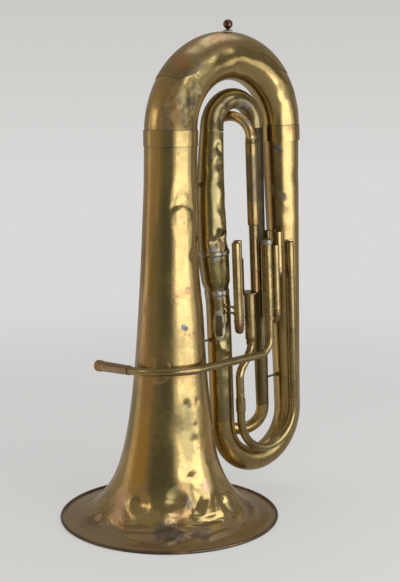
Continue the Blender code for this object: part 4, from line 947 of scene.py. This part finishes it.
# dark brass for the rear tube and rear leg, near black from 440 to 800 mm high: the darkness is painted shade of
# tubes standing in shadow behind the front ones
rearShadedPaint = agedBrass("rearTubeShadedBrass", (0.30, 0.23, 0.11), (0.15, 0.12, 0.07), tarnish=0.85, copper=0.03,
                      roughness=0.24, coat=0.0, bands=[(440, 800, (0.075, 0.058, 0.036), 1.0)])
leaningPiece("rear_tube", rearAt, [(rear["bowHeight"], rear["foot"]), (archFoot, branch["archRight"])],
             rearShadedPaint, skin, sides=64, wave=0.25, slot="dark_brass")
rearFeet = [spot(*at, rear["bowHeight"]) - upward * rear["seat"] * mm for at in (rearAt, legAt)]
rearPath = withEnds(bowPoints(*rearFeet, -upward, 50), upward * (rear["seat"] - gap))
tubePiece("rear_bottom_bow", rearPath, alongPath(rearPath, rear["foot"], rear["legTube"], small), lowerPaint,
          sides=56, wave=0.2)

# the crook hangs just under the inner arch
archHole = (rearAcross - leftAcross) / 2.0 - (branch["archLeft"] + branch["archRight"]) / 2.0
offCrown = abs((leftAcross + rearAcross) / 2.0 - (riserAt[0] + legAt[0]) / 2.0)
under = math.sqrt(archHole ** 2 - (offCrown + 0.45 * rear["crookTube"]) ** 2)
crookWide = math.dist(riserAt, legAt) / 2.0
crookHeight = innerBow + under - gap - rear["crookTube"] - crookWide
crookFoot = crookHeight - rear["crookSeat"] - gap
riserTop = spot(*riserAt, crookHeight)
crookPath = withEnds(bowPoints(riserTop, spot(*legAt, crookHeight), upward, 44), -upward * rear["crookSeat"])
crookPaint = agedBrass("innerCrookBrass", "bright", "copper", tarnish=0.7, copper=0.16,
                       blooms=[((crookPath[12] - inward * 8.0 * mm,), 20, "grey", 0.6)])
tubePiece("inner_crook", crookPath, [rear["crookTube"] * small] * len(crookPath), crookPaint)
leaningPiece("rear_leg", legAt, [(rear["bowHeight"], rear["legTube"]), (crookFoot, rear["crookTube"])],
             rearShadedPaint, small)
riserPaint = agedBrass("riserBrass", (0.42, 0.31, 0.13), (0.20, 0.15, 0.08), copper=0.16, grime=0.7,
                       cloudScale=18.0, coat=0.3, bands=[(610, 700, "smoke", 0.6)])
leaningPiece("riser_tube", riserAt, [
    (rear["plateTop"] + gap, rear["narrow"]), (rear["riserStep"], rear["narrow"]),
    (rear["riserStep"] + 1.6, rear["wide"]), (crookFoot - 3.2, rear["wide"]), (crookFoot, rear["riserSeam"]),
], riserPaint)
solderCollar("inner_crook_ring", riserTop - upward * 1.8 * mm, rear["crookRing"], crookPaint, lumps=0.4)
print("rear tubes done")


# Joint plate, sleeve, valve stub and goose neck

sleeve = {
    "at": (201.0, -37.0), "tube": 11.8, "length": 102.0, "plate": 3.2, "plateEdge": 0.5, "plateCut": 0.4,
    "stub": (193.0, -19.0), "stubTop": 488.0, "tubing": 8.75, "mouth": 10.0, "middle": 10.7, "wide": 11.6,
    "neck": (164.4, -40.0), "ferrule": 181.0, "neckBottom": 252.0, "seat": 8.0,
}
tubing = sleeve["tubing"] * small
plateTop = rear["plateTop"]
sleeveAt, stubAt, neckAt = sleeve["at"], sleeve["stub"], sleeve["neck"]
sleeveTop = plateTop - sleeve["plate"] - gap
sleeveLow = sleeveTop - sleeve["length"]
darkPaint = agedBrass("darkBrass", (0.26, 0.19, 0.09), (0.12, 0.09, 0.05), copper=0.08, roughness=0.28, grime=0.6)
tubingPaint = agedBrass("valveTubingBrass", (0.54, 0.41, 0.18), (0.26, 0.20, 0.09), grime=0.6, coat=0.4,
                        cloudScale=16.0)


def makeJointPlate(paint):
    # oval plate with rounded edges
    edge, tall = sleeve["plateEdge"], sleeve["plate"]
    wide = riserAt[0] - stubAt[0] + 2.0 * sleeve["tubing"] + 2.0 - sleeve["plateCut"]
    deep = stubAt[1] - riserAt[1] + 2.0 * sleeve["tube"] - sleeve["plateCut"]
    rows = []
    for inset, level in (
        (edge, 0.0), (edge * 0.3, edge * 0.3), (0.0, edge), (0.0, tall - edge), (edge * 0.3, tall - edge * 0.3),
        (edge, tall),
    ):
        ring = ringPoints((wide / 2.0 - inset) * mm, (deep / 2.0 - inset) * mm, 64)
        rows.append([(x, y, (level - tall / 2.0) * mm) for x, y in ring])
    middle = spot((stubAt[0] + riserAt[0] + sleeveAt[0]) / 3.0, (stubAt[1] + riserAt[1] * 2.0) / 3.0,
                  plateTop - tall / 2.0)
    place = Matrix.Translation(middle) @ Matrix.Rotation(-leanAngle, 4, "Y")
    finish("joint_plate", rowsSkin("jointPlate", rows, paint, caps=True, matrix=place), "dark_brass")


makeJointPlate(darkPaint)
leaningPiece("slide_sleeve", sleeveAt, [
    (sleeveLow, sleeve["mouth"]), (sleeveLow + 8.0, sleeve["mouth"]), (sleeveLow + 9.5, sleeve["middle"]),
    (sleeveLow + 12.0, sleeve["wide"]), (sleeveTop, sleeve["wide"]),
], tubingPaint, sides=52, spacing=4.9)
leaningPiece("open_valve_stub", stubAt, [(plateTop + gap, tubing), (sleeve["stubTop"], tubing)], darkPaint,
             slot="dark_brass")
neckTop = sleeveLow - 1.0
neckPath = [spot(*neckAt, sleeve["ferrule"])]
for step in range(31):
    share = step / 30
    swing = (1.0 - math.cos(math.pi * share)) / 2.0
    neckPath.append(spot(
        neckAt[0] + (sleeveAt[0] - neckAt[0]) * swing, neckAt[1] + (sleeveAt[1] - neckAt[1]) * swing,
        sleeve["neckBottom"] + (neckTop - sleeve["neckBottom"]) * share,
    ))
neckPath.append(neckPath[-1] + upward * sleeve["seat"] * mm)
tubePiece("goose_neck", neckPath, [tubing] * len(neckPath), tubingPaint, wave=0.14, marks=marksOn(onTube, [
    ((*neckAt, 246, 8.7, 60), 8, 0.8), ((170.0, -40.0, 268, 8.7, 60), 9, 1.0),
    ((*neckAt, 222, 8.7, 40), 8, 0.6),
]))
print("valve side pipes done")


# Slides

slide = {
    "spacing": 30.0, "engaged": 62.0, "bead": 0.8, "beadHeight": 3.0, "mouth": 8.0, "legTube": 7.1,
    "ferruleHeight": 26.0, "tuningRight": 315.0, "tuningBow": 164.8, "tuningLeg": 58.0, "exitTop": 508.0,
}
slides = {
    "first": {"at": (255.0, -58.0), "turn": 90.0, "top": 511.0, "bow": 371.0},
    "second": {"at": (289.0, -33.0), "turn": 90.0, "top": 531.5, "bow": 450.0},
    "third": {"at": (147.6, -60.0), "turn": 41.0, "top": 529.0, "bow": 368.0},
}
slidePaint = agedBrass("slideCrookBrass", (0.50, 0.31, 0.15), "brown", tarnish=0.6, copper=0.2, grime=0.6,
                       cloudScale=20.0)


def slideCrook(node, places, legTop, bow, seat, bead, paint, slot, body):
    # thin legs, a bead at the seat where bead is not 0, and the bow below
    legs, feet = [spot(*at, legTop) for at in places], [spot(*at, bow) for at in places]
    rise = (legs[0] - feet[0]).normalized()
    rings = [(seat, slide["legTube"])]
    if bead:
        edge = seat - slide["beadHeight"]
        rings += [(seat - 0.1, tubing + bead * 0.5), (seat - 0.7, tubing + bead), (edge + 0.2, tubing + bead),
                  (edge - 0.5, tubing)]
    else:
        rings.append((seat - 0.2, tubing))
    points = [legs[0]] + [feet[0] + rise * level * mm for level, radius in rings]
    radii = [slide["legTube"]] + [radius for level, radius in rings]
    curve = bowPoints(*feet, -rise, 48)
    path = points + curve + [point - feet[0] + feet[1] for point in reversed(points)]
    tubePiece(node, path, radii + [tubing] * len(curve) + radii[::-1], paint, sides=44, wave=0.08, slot=slot,
              body=body, spacing=6.0)


for name, form in slides.items():
    turn = math.radians(form["turn"])
    across, depth = form["at"]
    form["rear"] = (across + slide["spacing"] * math.cos(turn), depth + slide["spacing"] * math.sin(turn))
    legFoot = form["bow"] + slide["mouth"]
    for end, at in (("front", form["at"]), ("rear", form["rear"])):
        leaningPiece(name + "_slide_" + end + "_leg", at, [(legFoot, tubing), (form["top"], tubing)], tubingPaint,
                     sides=44)
    slideCrook(name + "_slide_crook", (form["at"], form["rear"]), legFoot + slide["engaged"], form["bow"],
               slide["mouth"] - gap, slide["bead"], slidePaint, "copper_brown_brass", name + "_slide_body")

exitAt, ferrule = (slide["tuningRight"], neckAt[1]), sleeve["ferrule"]
slideCrook("tuning_slide", (neckAt, exitAt), ferrule + slide["tuningLeg"], slide["tuningBow"],
           ferrule - slide["tuningBow"] - gap, 0.0, tubingPaint, "aged_brass", "tuning_slide_body")
bandPiece("tuning_ferrule", spot(*neckAt, ferrule + 1.0), upward, tubing + 0.25, tubing + 1.1,
          slide["ferruleHeight"], tubingPaint, sides=48)
leaningPiece("valve_exit_tube", exitAt, [(ferrule, tubing), (slide["exitTop"], tubing)], tubingPaint, wave=0.14)
print("slides done")


# Leadpipe, receiver and flange

lead = {
    "height": 306.5, "standOff": 6.6, "fall": 4.4, "fallFrom": 225.0, "tube": 8.3, "entry": (230.0, -62.0),
    "bend": 30.0, "joint": 368.0, "top": 526.0, "entryTube": 9.3, "receiverStart": 19.0,
    "receiver": 102.0, "bore": 6.4, "endRadius": 10.2, "ringRadius": 11.4, "ringWidth": 9.0, "footStep": 1.0,
    "jointRing": (9.5, 10.3, 8.0), "topRing": (9.5, 10.5, 10.0),
}
leadPaint = agedBrass("leadpipeBrass", (0.50, 0.38, 0.17), (0.27, 0.20, 0.09), copper=0.08, grime=0.55,
                      cloudScale=14.0, coat=0.4)
leadZ, entryAt = lead["height"], lead["entry"]
leadCentre = Vector((bellAxis(leadZ), 0.0, leadZ * mm))
leadWrap = (bellRadius(leadZ) + lead["standOff"] + lead["tube"]) * mm
entryBase = spot(*entryAt, leadZ)
corner = entryBase + upward * ((leadZ * mm - entryBase.z) / upward.z)
reach = corner - leadCentre
swing = math.asin(leadWrap / reach.length) - math.atan2(-reach.y, reach.x)
run = levelStep(swing)
bendTurn = math.acos(run.dot(upward))
bendRadius = lead["bend"] * mm
bendSide = (upward - run * run.dot(upward)).normalized() * bendRadius
bendCentre = corner - run * bendRadius * math.tan(bendTurn / 2.0) + bendSide
bendPath = arcPoints(bendCentre, -bendSide, run * bendRadius, 0.0, bendTurn, 22)
wrapPath = arcPoints(leadCentre, Vector((leadWrap, 0.0, 0.0)), Vector((0.0, leadWrap, 0.0)), math.pi,
                     1.5 * math.pi + swing, 50)
fall = math.radians(lead["fall"])
for step, point in enumerate(wrapPath):
    angle = math.pi + (0.5 * math.pi + swing) * step / 50
    point.z -= leadWrap * max(math.radians(lead["fallFrom"]) - angle, 0.0) * math.tan(fall)
backward = Vector((0.0, math.cos(fall), -math.sin(fall)))
leadStart = wrapPath[0] + backward * (lead["receiverStart"] * mm / backward.y)
leadPath = [leadStart] + wrapPath + bendPath + [spot(*entryAt, lead["joint"] - gap)]
tubePiece("leadpipe", leadPath, [lead["tube"] * small] * len(leadPath), leadPaint, wave=0.14)
leaningPiece(
    "leadpipe_riser", entryAt, [(lead["joint"], lead["entryTube"]), (lead["top"], lead["entryTube"])], tubingPaint,
    small, wave=0.14,
    marks=marksOn(onTube, [((*entryAt, 500, 9.2, 30), 8, 0.7), ((*entryAt, 470, 9.2, 50), 8, 0.5)]),
)
bandPiece("leadpipe_joint_ring", spot(*entryAt, lead["joint"] - 5.0), upward, *lead["jointRing"], tubingPaint,
          sides=48)
solderCollar("leadpipe_top_ring", spot(*entryAt, lead["top"] - 5.75), lead["topRing"], solderPaint, lumps=0.5)


def makeReceiver(paint):
    far, ring, end, wide = lead["receiver"], lead["ringWidth"], lead["endRadius"], lead["ringRadius"]
    socket = end - 2.6
    foot = lead["tube"] + lead["footStep"]
    neckEnd = far - 1.6 * ring
    profile = [
        (socket, far - 0.6), (socket + 0.8, far), (wide - 0.8, far), (wide, far - 0.8), (wide, far - ring + 0.8),
        (wide - 0.6, far - ring), (end + 0.5, far - ring), (end + 0.5, neckEnd + 0.4), (end, neckEnd),
    ]
    for share in (0.25, 0.5, 0.75, 1.0):
        profile.append((end + (foot - end) * share, neckEnd + (6.0 - neckEnd) * share))
    profile += [(foot, 0.4), (foot - 0.4, 0.0), (lead["tube"] - 0.8, 0.0), (lead["bore"], far * 0.55)]
    place = standing(leadStart + backward * gap * mm, backward)
    mesh = latheSkin("receiver", profile, 64, place, paint, loop=True)
    finish("mouthpiece_receiver", mesh, "copper_brown_brass")


makeReceiver(copperPaint)

flange = {
    "wide": 24.5, "tall": 27.5, "turn": 212.0, "post": (6.8, 4.8), "postShare": 0.27,
    "levels": [
        (1.0, 0.15), (1.0, 0.9), (0.93, 1.25), (0.6, 1.45), (0.36, 1.7), (0.29, 2.3), (0.27, 4.9), (0.24, 5.3),
    ],
}


def makeFlange(paint):
    # oval plate that follows the bell, a smooth fillet up to its post, and the post under the leadpipe
    outward = levelStep(math.radians(flange["turn"]))
    around = Vector((-outward.y, outward.x, 0.0))
    rows = []
    for share, lift in flange["levels"]:
        wide, tall = flange["wide"] * share, flange["tall"] * share
        if share < 0.3:
            wide, tall = [size * share / flange["postShare"] for size in flange["post"]]
        row = []
        for offAxis, offLevel in ringPoints(wide, tall, 72):
            z = leadZ + offLevel
            if lift > 2.0:          # the post stands straight up from the plate
                step = outward * (bellRadius(leadZ) + lift) + around * offAxis
                row.append(Vector((bellAxis(leadZ), 0.0, z * mm)) + step * mm)
            else:
                bend = offAxis / bellRadius(z)
                step = (outward * math.cos(bend) + around * math.sin(bend)) * (bellRadius(z) + lift + 0.1)
                row.append(Vector((bellAxis(z), 0.0, z * mm)) + step * mm)
        rows.append(row)
    finish("leadpipe_flange", rowsSkin("flange", rows, paint, caps=True), "grey_solder")


makeFlange(agedBrass("flangeBrass", tarnish=0.7, relief=0.5))
print("leadpipe done")


# Stays

stay = {"rod": 2.2, "foot": 4.85, "footHeight": 1.2}


def nodeMiddle(node):
    low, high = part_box(node)
    return (low + high) / 2.0


def axisAt(across, depth, point):
    # the point of a leaning tube's axis nearest to a place
    base = spot(across, depth, 0.0)
    return base + upward * (point - base).dot(upward)


def makeStay(node, axis, paint, slot):
    # a rod with a dished foot at each end, as long as the CAD node
    points = [vertex.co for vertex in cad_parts[node].data.vertices]
    middle = sum(points, Vector()) / len(points)
    ends = [(point - middle).dot(axis) for point in points]
    low, high = min(ends) / mm, max(ends) / mm
    if node in ("rear_leg_stay", "bell_stay_upper"):        # these follow the branch that has been pushed
        branchMiddle = axisAt(*leftAt, middle)
        high += (leftBend(branchMiddle) - branchMiddle).dot(axis) / mm
    length = high - low
    foot = min(stay["footHeight"], 0.3 * length)
    rod, wide = stay["rod"], stay["foot"]
    waist = rod + (wide - rod) * 0.45
    half = [(0.0, 0.0), (wide - 0.3, 0.0), (wide, 0.3), (wide, foot * 0.7), (waist, foot), (rod, foot * 1.6)]
    profile = [(radius, length - level) for radius, level in half] + half[::-1]
    finish(node, latheSkin(node, profile, 32, standing(middle + axis * low * mm, axis), paint), slot)


first, second, third = slides["first"], slides["second"], slides["third"]
tubingLook, darkLook = (tubingPaint, "aged_brass"), (darkPaint, "dark_brass")
stays = {
    "third_slide_stay_upper": (leftAt, third["at"], tubingLook),
    "third_slide_stay_lower": (leftAt, third["at"], tubingLook),
    "first_slide_stay": (entryAt, first["at"], tubingLook),
    "second_slide_stay": (second["rear"], outerAt, darkLook),
    "exit_tube_stay": (outerAt, exitAt, (solderPaint, "grey_solder")),
    "rear_tube_stay": (rearAt, outerAt, darkLook),
    "rear_leg_stay": (legAt, leftAt, darkLook),
}
for node, (start, end, look) in stays.items():
    middle = nodeMiddle(node)
    makeStay(node, (axisAt(*end, middle) - axisAt(*start, middle)).normalized(), *look)
for node in ("bell_stay_upper", "bell_stay_lower"):
    makeStay(node, Vector((1.0, 0.0, 0.0)), *darkLook)
print("stays done")


# Lyre socket

lyre = {
    "height": 362.0, "turn": 229.0, "seat": 24.9, "plateWide": 25.0, "plateTall": 60.5, "plateWall": 1.3,
    "plateRings": 14, "plateSides": 64, "boxWide": 13.0, "boxEdge": 0.5, "slotWide": 8.0,
    "screw": 1.8, "head": 4.5, "headLength": 3.0, "threads": 9,
}
lyreTurn = math.radians(lyre["turn"])
lyreOut = sideward * math.cos(lyreTurn) + inward * math.sin(lyreTurn)
lyreAcross = upward.cross(lyreOut)
lyreAxis = spot(*leftAt, lyre["height"])


def makeLyrePlate(paint):
    # oval sheet bent round the branch, with a raised edge
    rows = []
    for ring in range(lyre["plateRings"] + 1):
        share = ring / lyre["plateRings"]
        lift = lyre["seat"] + 0.35 + (0.25 if share > 0.9 else 0.0)
        row = []
        wide, tall = lyre["plateWide"] / 2.0 * share, lyre["plateTall"] / 2.0 * share
        for offAxis, offLevel in ringPoints(wide, tall, lyre["plateSides"] if ring else 1):
            bend = offAxis / lyre["seat"]
            point = lyreAxis + (lyreOut * math.cos(bend) + lyreAcross * math.sin(bend)) * lift * mm
            row.append(point + upward * offLevel * mm)
        rows.append(row)
    mesh = rowsSkin("lyrePlate", rows, paint)
    if mesh.polygons[0].normal.dot(lyreOut) < 0.0:
        mesh.flip_normals()
    finish("lyre_plate", sheetWall("lyrePlate", mesh, lyre["plateWall"], 1.0))


def makeLyreBox(paint):
    # the CAD node's own box, merged, with its edges broken
    form = bmesh.new()
    form.from_mesh(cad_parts["lyre_socket"].data)
    bmesh.ops.remove_doubles(form, verts=form.verts, dist=0.00001)
    bmesh.ops.dissolve_limit(form, angle_limit=math.radians(2.0), verts=form.verts, edges=form.edges)
    holder = placed("lyreBox", meshOf(form, "lyreBox", paint))
    edges = holder.modifiers.new("edges", "BEVEL")
    edges.width = lyre["boxEdge"] * mm
    edges.segments = 2
    edges.limit_method = "ANGLE"
    finish("lyre_socket", evaluated(holder))


def makeThumbscrew(paint):
    face = lyre["boxWide"] / 2.0 + gap
    head = face + lyre["headLength"]
    tip = lyre["slotWide"] / 2.0 - 1.0
    wide, screw = lyre["head"], lyre["screw"]
    profile = [
        (0.0, head), (wide * 0.75, head), (wide, head - 0.7), (wide, face + 0.5), (wide * 0.8, face),
        (screw, face),
    ]
    for step in range(lyre["threads"]):          # turned grooves stand for the thread
        level = face + (tip - face) * (step + 0.5) / lyre["threads"]
        profile += [(screw, level + 0.12), (screw * 0.84, level), (screw, level - 0.12)]
    profile += [(screw, tip + 0.2), (screw - 0.3, tip), (0.0, tip)]
    middle = lyreAxis + lyreOut * ((nodeMiddle("lyre_socket") - lyreAxis).dot(lyreOut))
    facing = Matrix((lyreAcross, upward, lyreOut)).transposed().to_4x4()
    place = Matrix.Translation(middle) @ facing @ Matrix.Rotation(math.pi / 2.0, 4, "Y")
    mesh = latheSkin("thumbscrew", profile, 40, place, paint)
    back = place.inverted()
    for vertex in mesh.vertices:        # flats of the gripped head
        local = back @ vertex.co
        if local.z > (face + 0.3) * mm:
            ripple = 0.95 + 0.05 * math.cos(10.0 * math.atan2(local.y, local.x))
            vertex.co = place @ Vector((local.x * ripple, local.y * ripple, local.z))
    mesh.update()
    finish("lyre_thumbscrew", mesh, "aged_brass", "thumbscrew_body")


lyrePaint = agedBrass("lyrePlateSolder", (0.66, 0.62, 0.50), (0.34, 0.29, 0.16), copper=0.04, cloudScale=40.0,
                      roughness=0.38, metallic=0.75, relief=0.7)
makeLyrePlate(lyrePaint)
makeLyreBox(darkPaint)
makeThumbscrew(lyrePaint)
print("lyre socket done")


# Studio: floor, world, lamps and camera

studio = {
    "background": (0.70, 0.69, 0.68), "above": (0.54, 0.53, 0.50), "floor": (0.80, 0.79, 0.78),
    "dark": (0.13, 0.13, 0.11), "side": (0.30, 0.24, 0.165), "strip": (0.62, 0.55, 0.47),
    "behind": (0.27, 0.24, 0.20), "ceiling": (0.24, 0.22, 0.19), "diffuse": (0.55, 0.55, 0.54),
    "cameraAt": (-1.4214, -1.7271, 0.8095), "heading": 41.0, "pitch": 9.2, "lens": 72.93,
    "floorRadius": 14.0, "floorDrop": 0.0005,
}
heading, pitch = math.radians(studio["heading"]), math.radians(studio["pitch"])
viewDirection = Vector((math.sin(heading), math.cos(heading), 0.0))
photoRight = Vector((math.cos(heading), -math.sin(heading), 0.0))


def room(name):
    return tone(studio[name])


def rays(paint):
    # which rays see a surface: the camera's, the metal's mirror rays, and those that go on through a cut-out
    kinds = ("Is Camera Ray", "Is Glossy Ray", "Is Transmission Ray")
    return [paint.node("ShaderNodeLightPath", {}, {}, kind) for kind in kinds]


def mirrored(paint, direction, edge):
    # the room as the metal shows it, from the direction away from the horn: dark toward the camera, warm at the
    # left with one light strip, and dusky behind
    leftward = paint.along(direction, -photoRight)
    behind = paint.along(direction, viewDirection)
    shade = paint.blend(room("dark"), room("side"), leftward.rise(edge, edge + 0.18))
    strip = leftward.rise(0.90, 0.96) * behind.rise(0.0, 0.10) * (1.0 - behind.rise(0.34, 0.46))
    shade = paint.blend(shade, room("behind"), behind.rise(0.20, 0.45))
    return paint.blend(shade, room("strip"), strip)


def glow(paint, shade):
    return paint.node("ShaderNodeEmission", {}, {"Color": shade, "Strength": 1.0})


def makeFloor():
    form = bmesh.new()
    bmesh.ops.create_circle(form, cap_ends=True, segments=96, radius=studio["floorRadius"])
    material = bpy.data.materials.new("paleFloor")
    floor = placed("floor", meshOf(form, "floor", material))
    floor.location = (0.0, 0.0, -studio["floorDrop"])
    paint = paintOf(material)
    place = paint.place()
    camera, glossy, through = rays(paint)
    # the floor glows: camera rays see the backdrop's glow, mixed near the horn with the lit floor, and the metal's
    # mirror rays see the mirrored room glowing in it, a painted reflection standing in for the room
    far = paint.vector("LENGTH", {0: place}).rise(0.9, 2.6)
    seen = far * through + (far * 0.45 + 0.55) * camera
    shade = paint.node("ShaderNodeBsdfDiffuse", {}, {"Color": room("floor")})
    shade = paint.mixed(seen.atMost(1.0), shade, glow(paint, room("background")))
    mirror = mirrored(paint, paint.vector("NORMALIZE", {0: place}, "Vector"), 0.42)
    shade = paint.mixed(glossy * (far * 0.22 + 0.78), shade, glow(paint, mirror))
    paint.node("ShaderNodeOutputMaterial", {}, {"Surface": shade})


def makeWorld():
    world = bpy.data.worlds.new("studio")
    bpy.context.scene.world = world
    paint = paintOf(world)
    direction = paint.node("ShaderNodeTexCoord", {}, {}, "Generated")
    camera, glossy, through = rays(paint)
    height = paint.node("ShaderNodeSeparateXYZ", {}, {0: direction}, "Z")
    seen = paint.blend(mirrored(paint, direction, 0.60), room("ceiling"), height.rise(0.35, 0.75))
    shade = paint.blend(room("diffuse"), seen, glossy)
    backdrop = paint.blend(room("background"), room("above"), height.rise(-0.12, 0.22))
    shade = paint.blend(shade, backdrop, (camera + through).atMost(1.0))
    sky = paint.node("ShaderNodeBackground", {}, {"Color": shade, "Strength": 1.0})
    paint.node("ShaderNodeOutputWorld", {}, {"Surface": sky})


def softbox(name, turn, distance, height, wide, tall, radiance, tint, aim):
    # an area lamp; turn runs from the camera toward the photo's right, aim is the height it looks at
    angle = math.radians(turn)
    lamp = bpy.data.lights.new(name, "AREA")
    lamp.shape = "RECTANGLE"
    lamp.size = wide
    lamp.size_y = tall
    lamp.energy = radiance * math.pi * wide * tall
    lamp.color = tint
    holder = placed(name, lamp)
    outward = -viewDirection * math.cos(angle) + photoRight * math.sin(angle)
    holder.location = outward * distance + Vector((0.0, 0.0, height))
    holder.rotation_euler = (Vector((0.0, 0.0, aim)) - holder.location).to_track_quat("-Z", "Y").to_euler()
    holder.visible_camera = False


def makeCamera():
    lens = bpy.data.cameras.new("photoCamera")
    lens.lens = studio["lens"]
    camera = placed("photoCamera", lens)
    camera.location = Vector(studio["cameraAt"]) + Vector((bellX, 0.0, 0.0))
    look = viewDirection * math.cos(pitch) - Vector((0.0, 0.0, math.sin(pitch)))
    camera.rotation_euler = look.to_track_quat("-Z", "Y").to_euler()
    bpy.context.scene.camera = camera


makeFloor()
makeWorld()
for lamp in (
    ("keySoftbox", 50.0, 1.5, 0.41, 1.6, 0.66, 1.3, (1.0, 0.98, 0.97), 0.41),
    ("wideSoftbox", 54.0, 1.55, 0.40, 2.9, 0.68, 0.7, (1.0, 0.97, 0.93), 0.40),
    ("warmSoftbox", -75.0, 1.3, 0.98, 0.5, 0.42, 1.0, (1.0, 0.90, 0.76), 0.1),
    ("highSoftbox", 52.0, 2.4, 1.85, 2.3, 0.85, 1.7, (1.0, 0.98, 0.95), 0.5),
    ("topSoftbox", 150.0, 0.9, 3.0, 1.6, 1.6, 0.8, (1.0, 1.0, 1.0), 0.5),
):
    softbox(*lamp)
makeCamera()
bpy.context.scene.view_settings.view_transform = "Standard"
print("studio done")
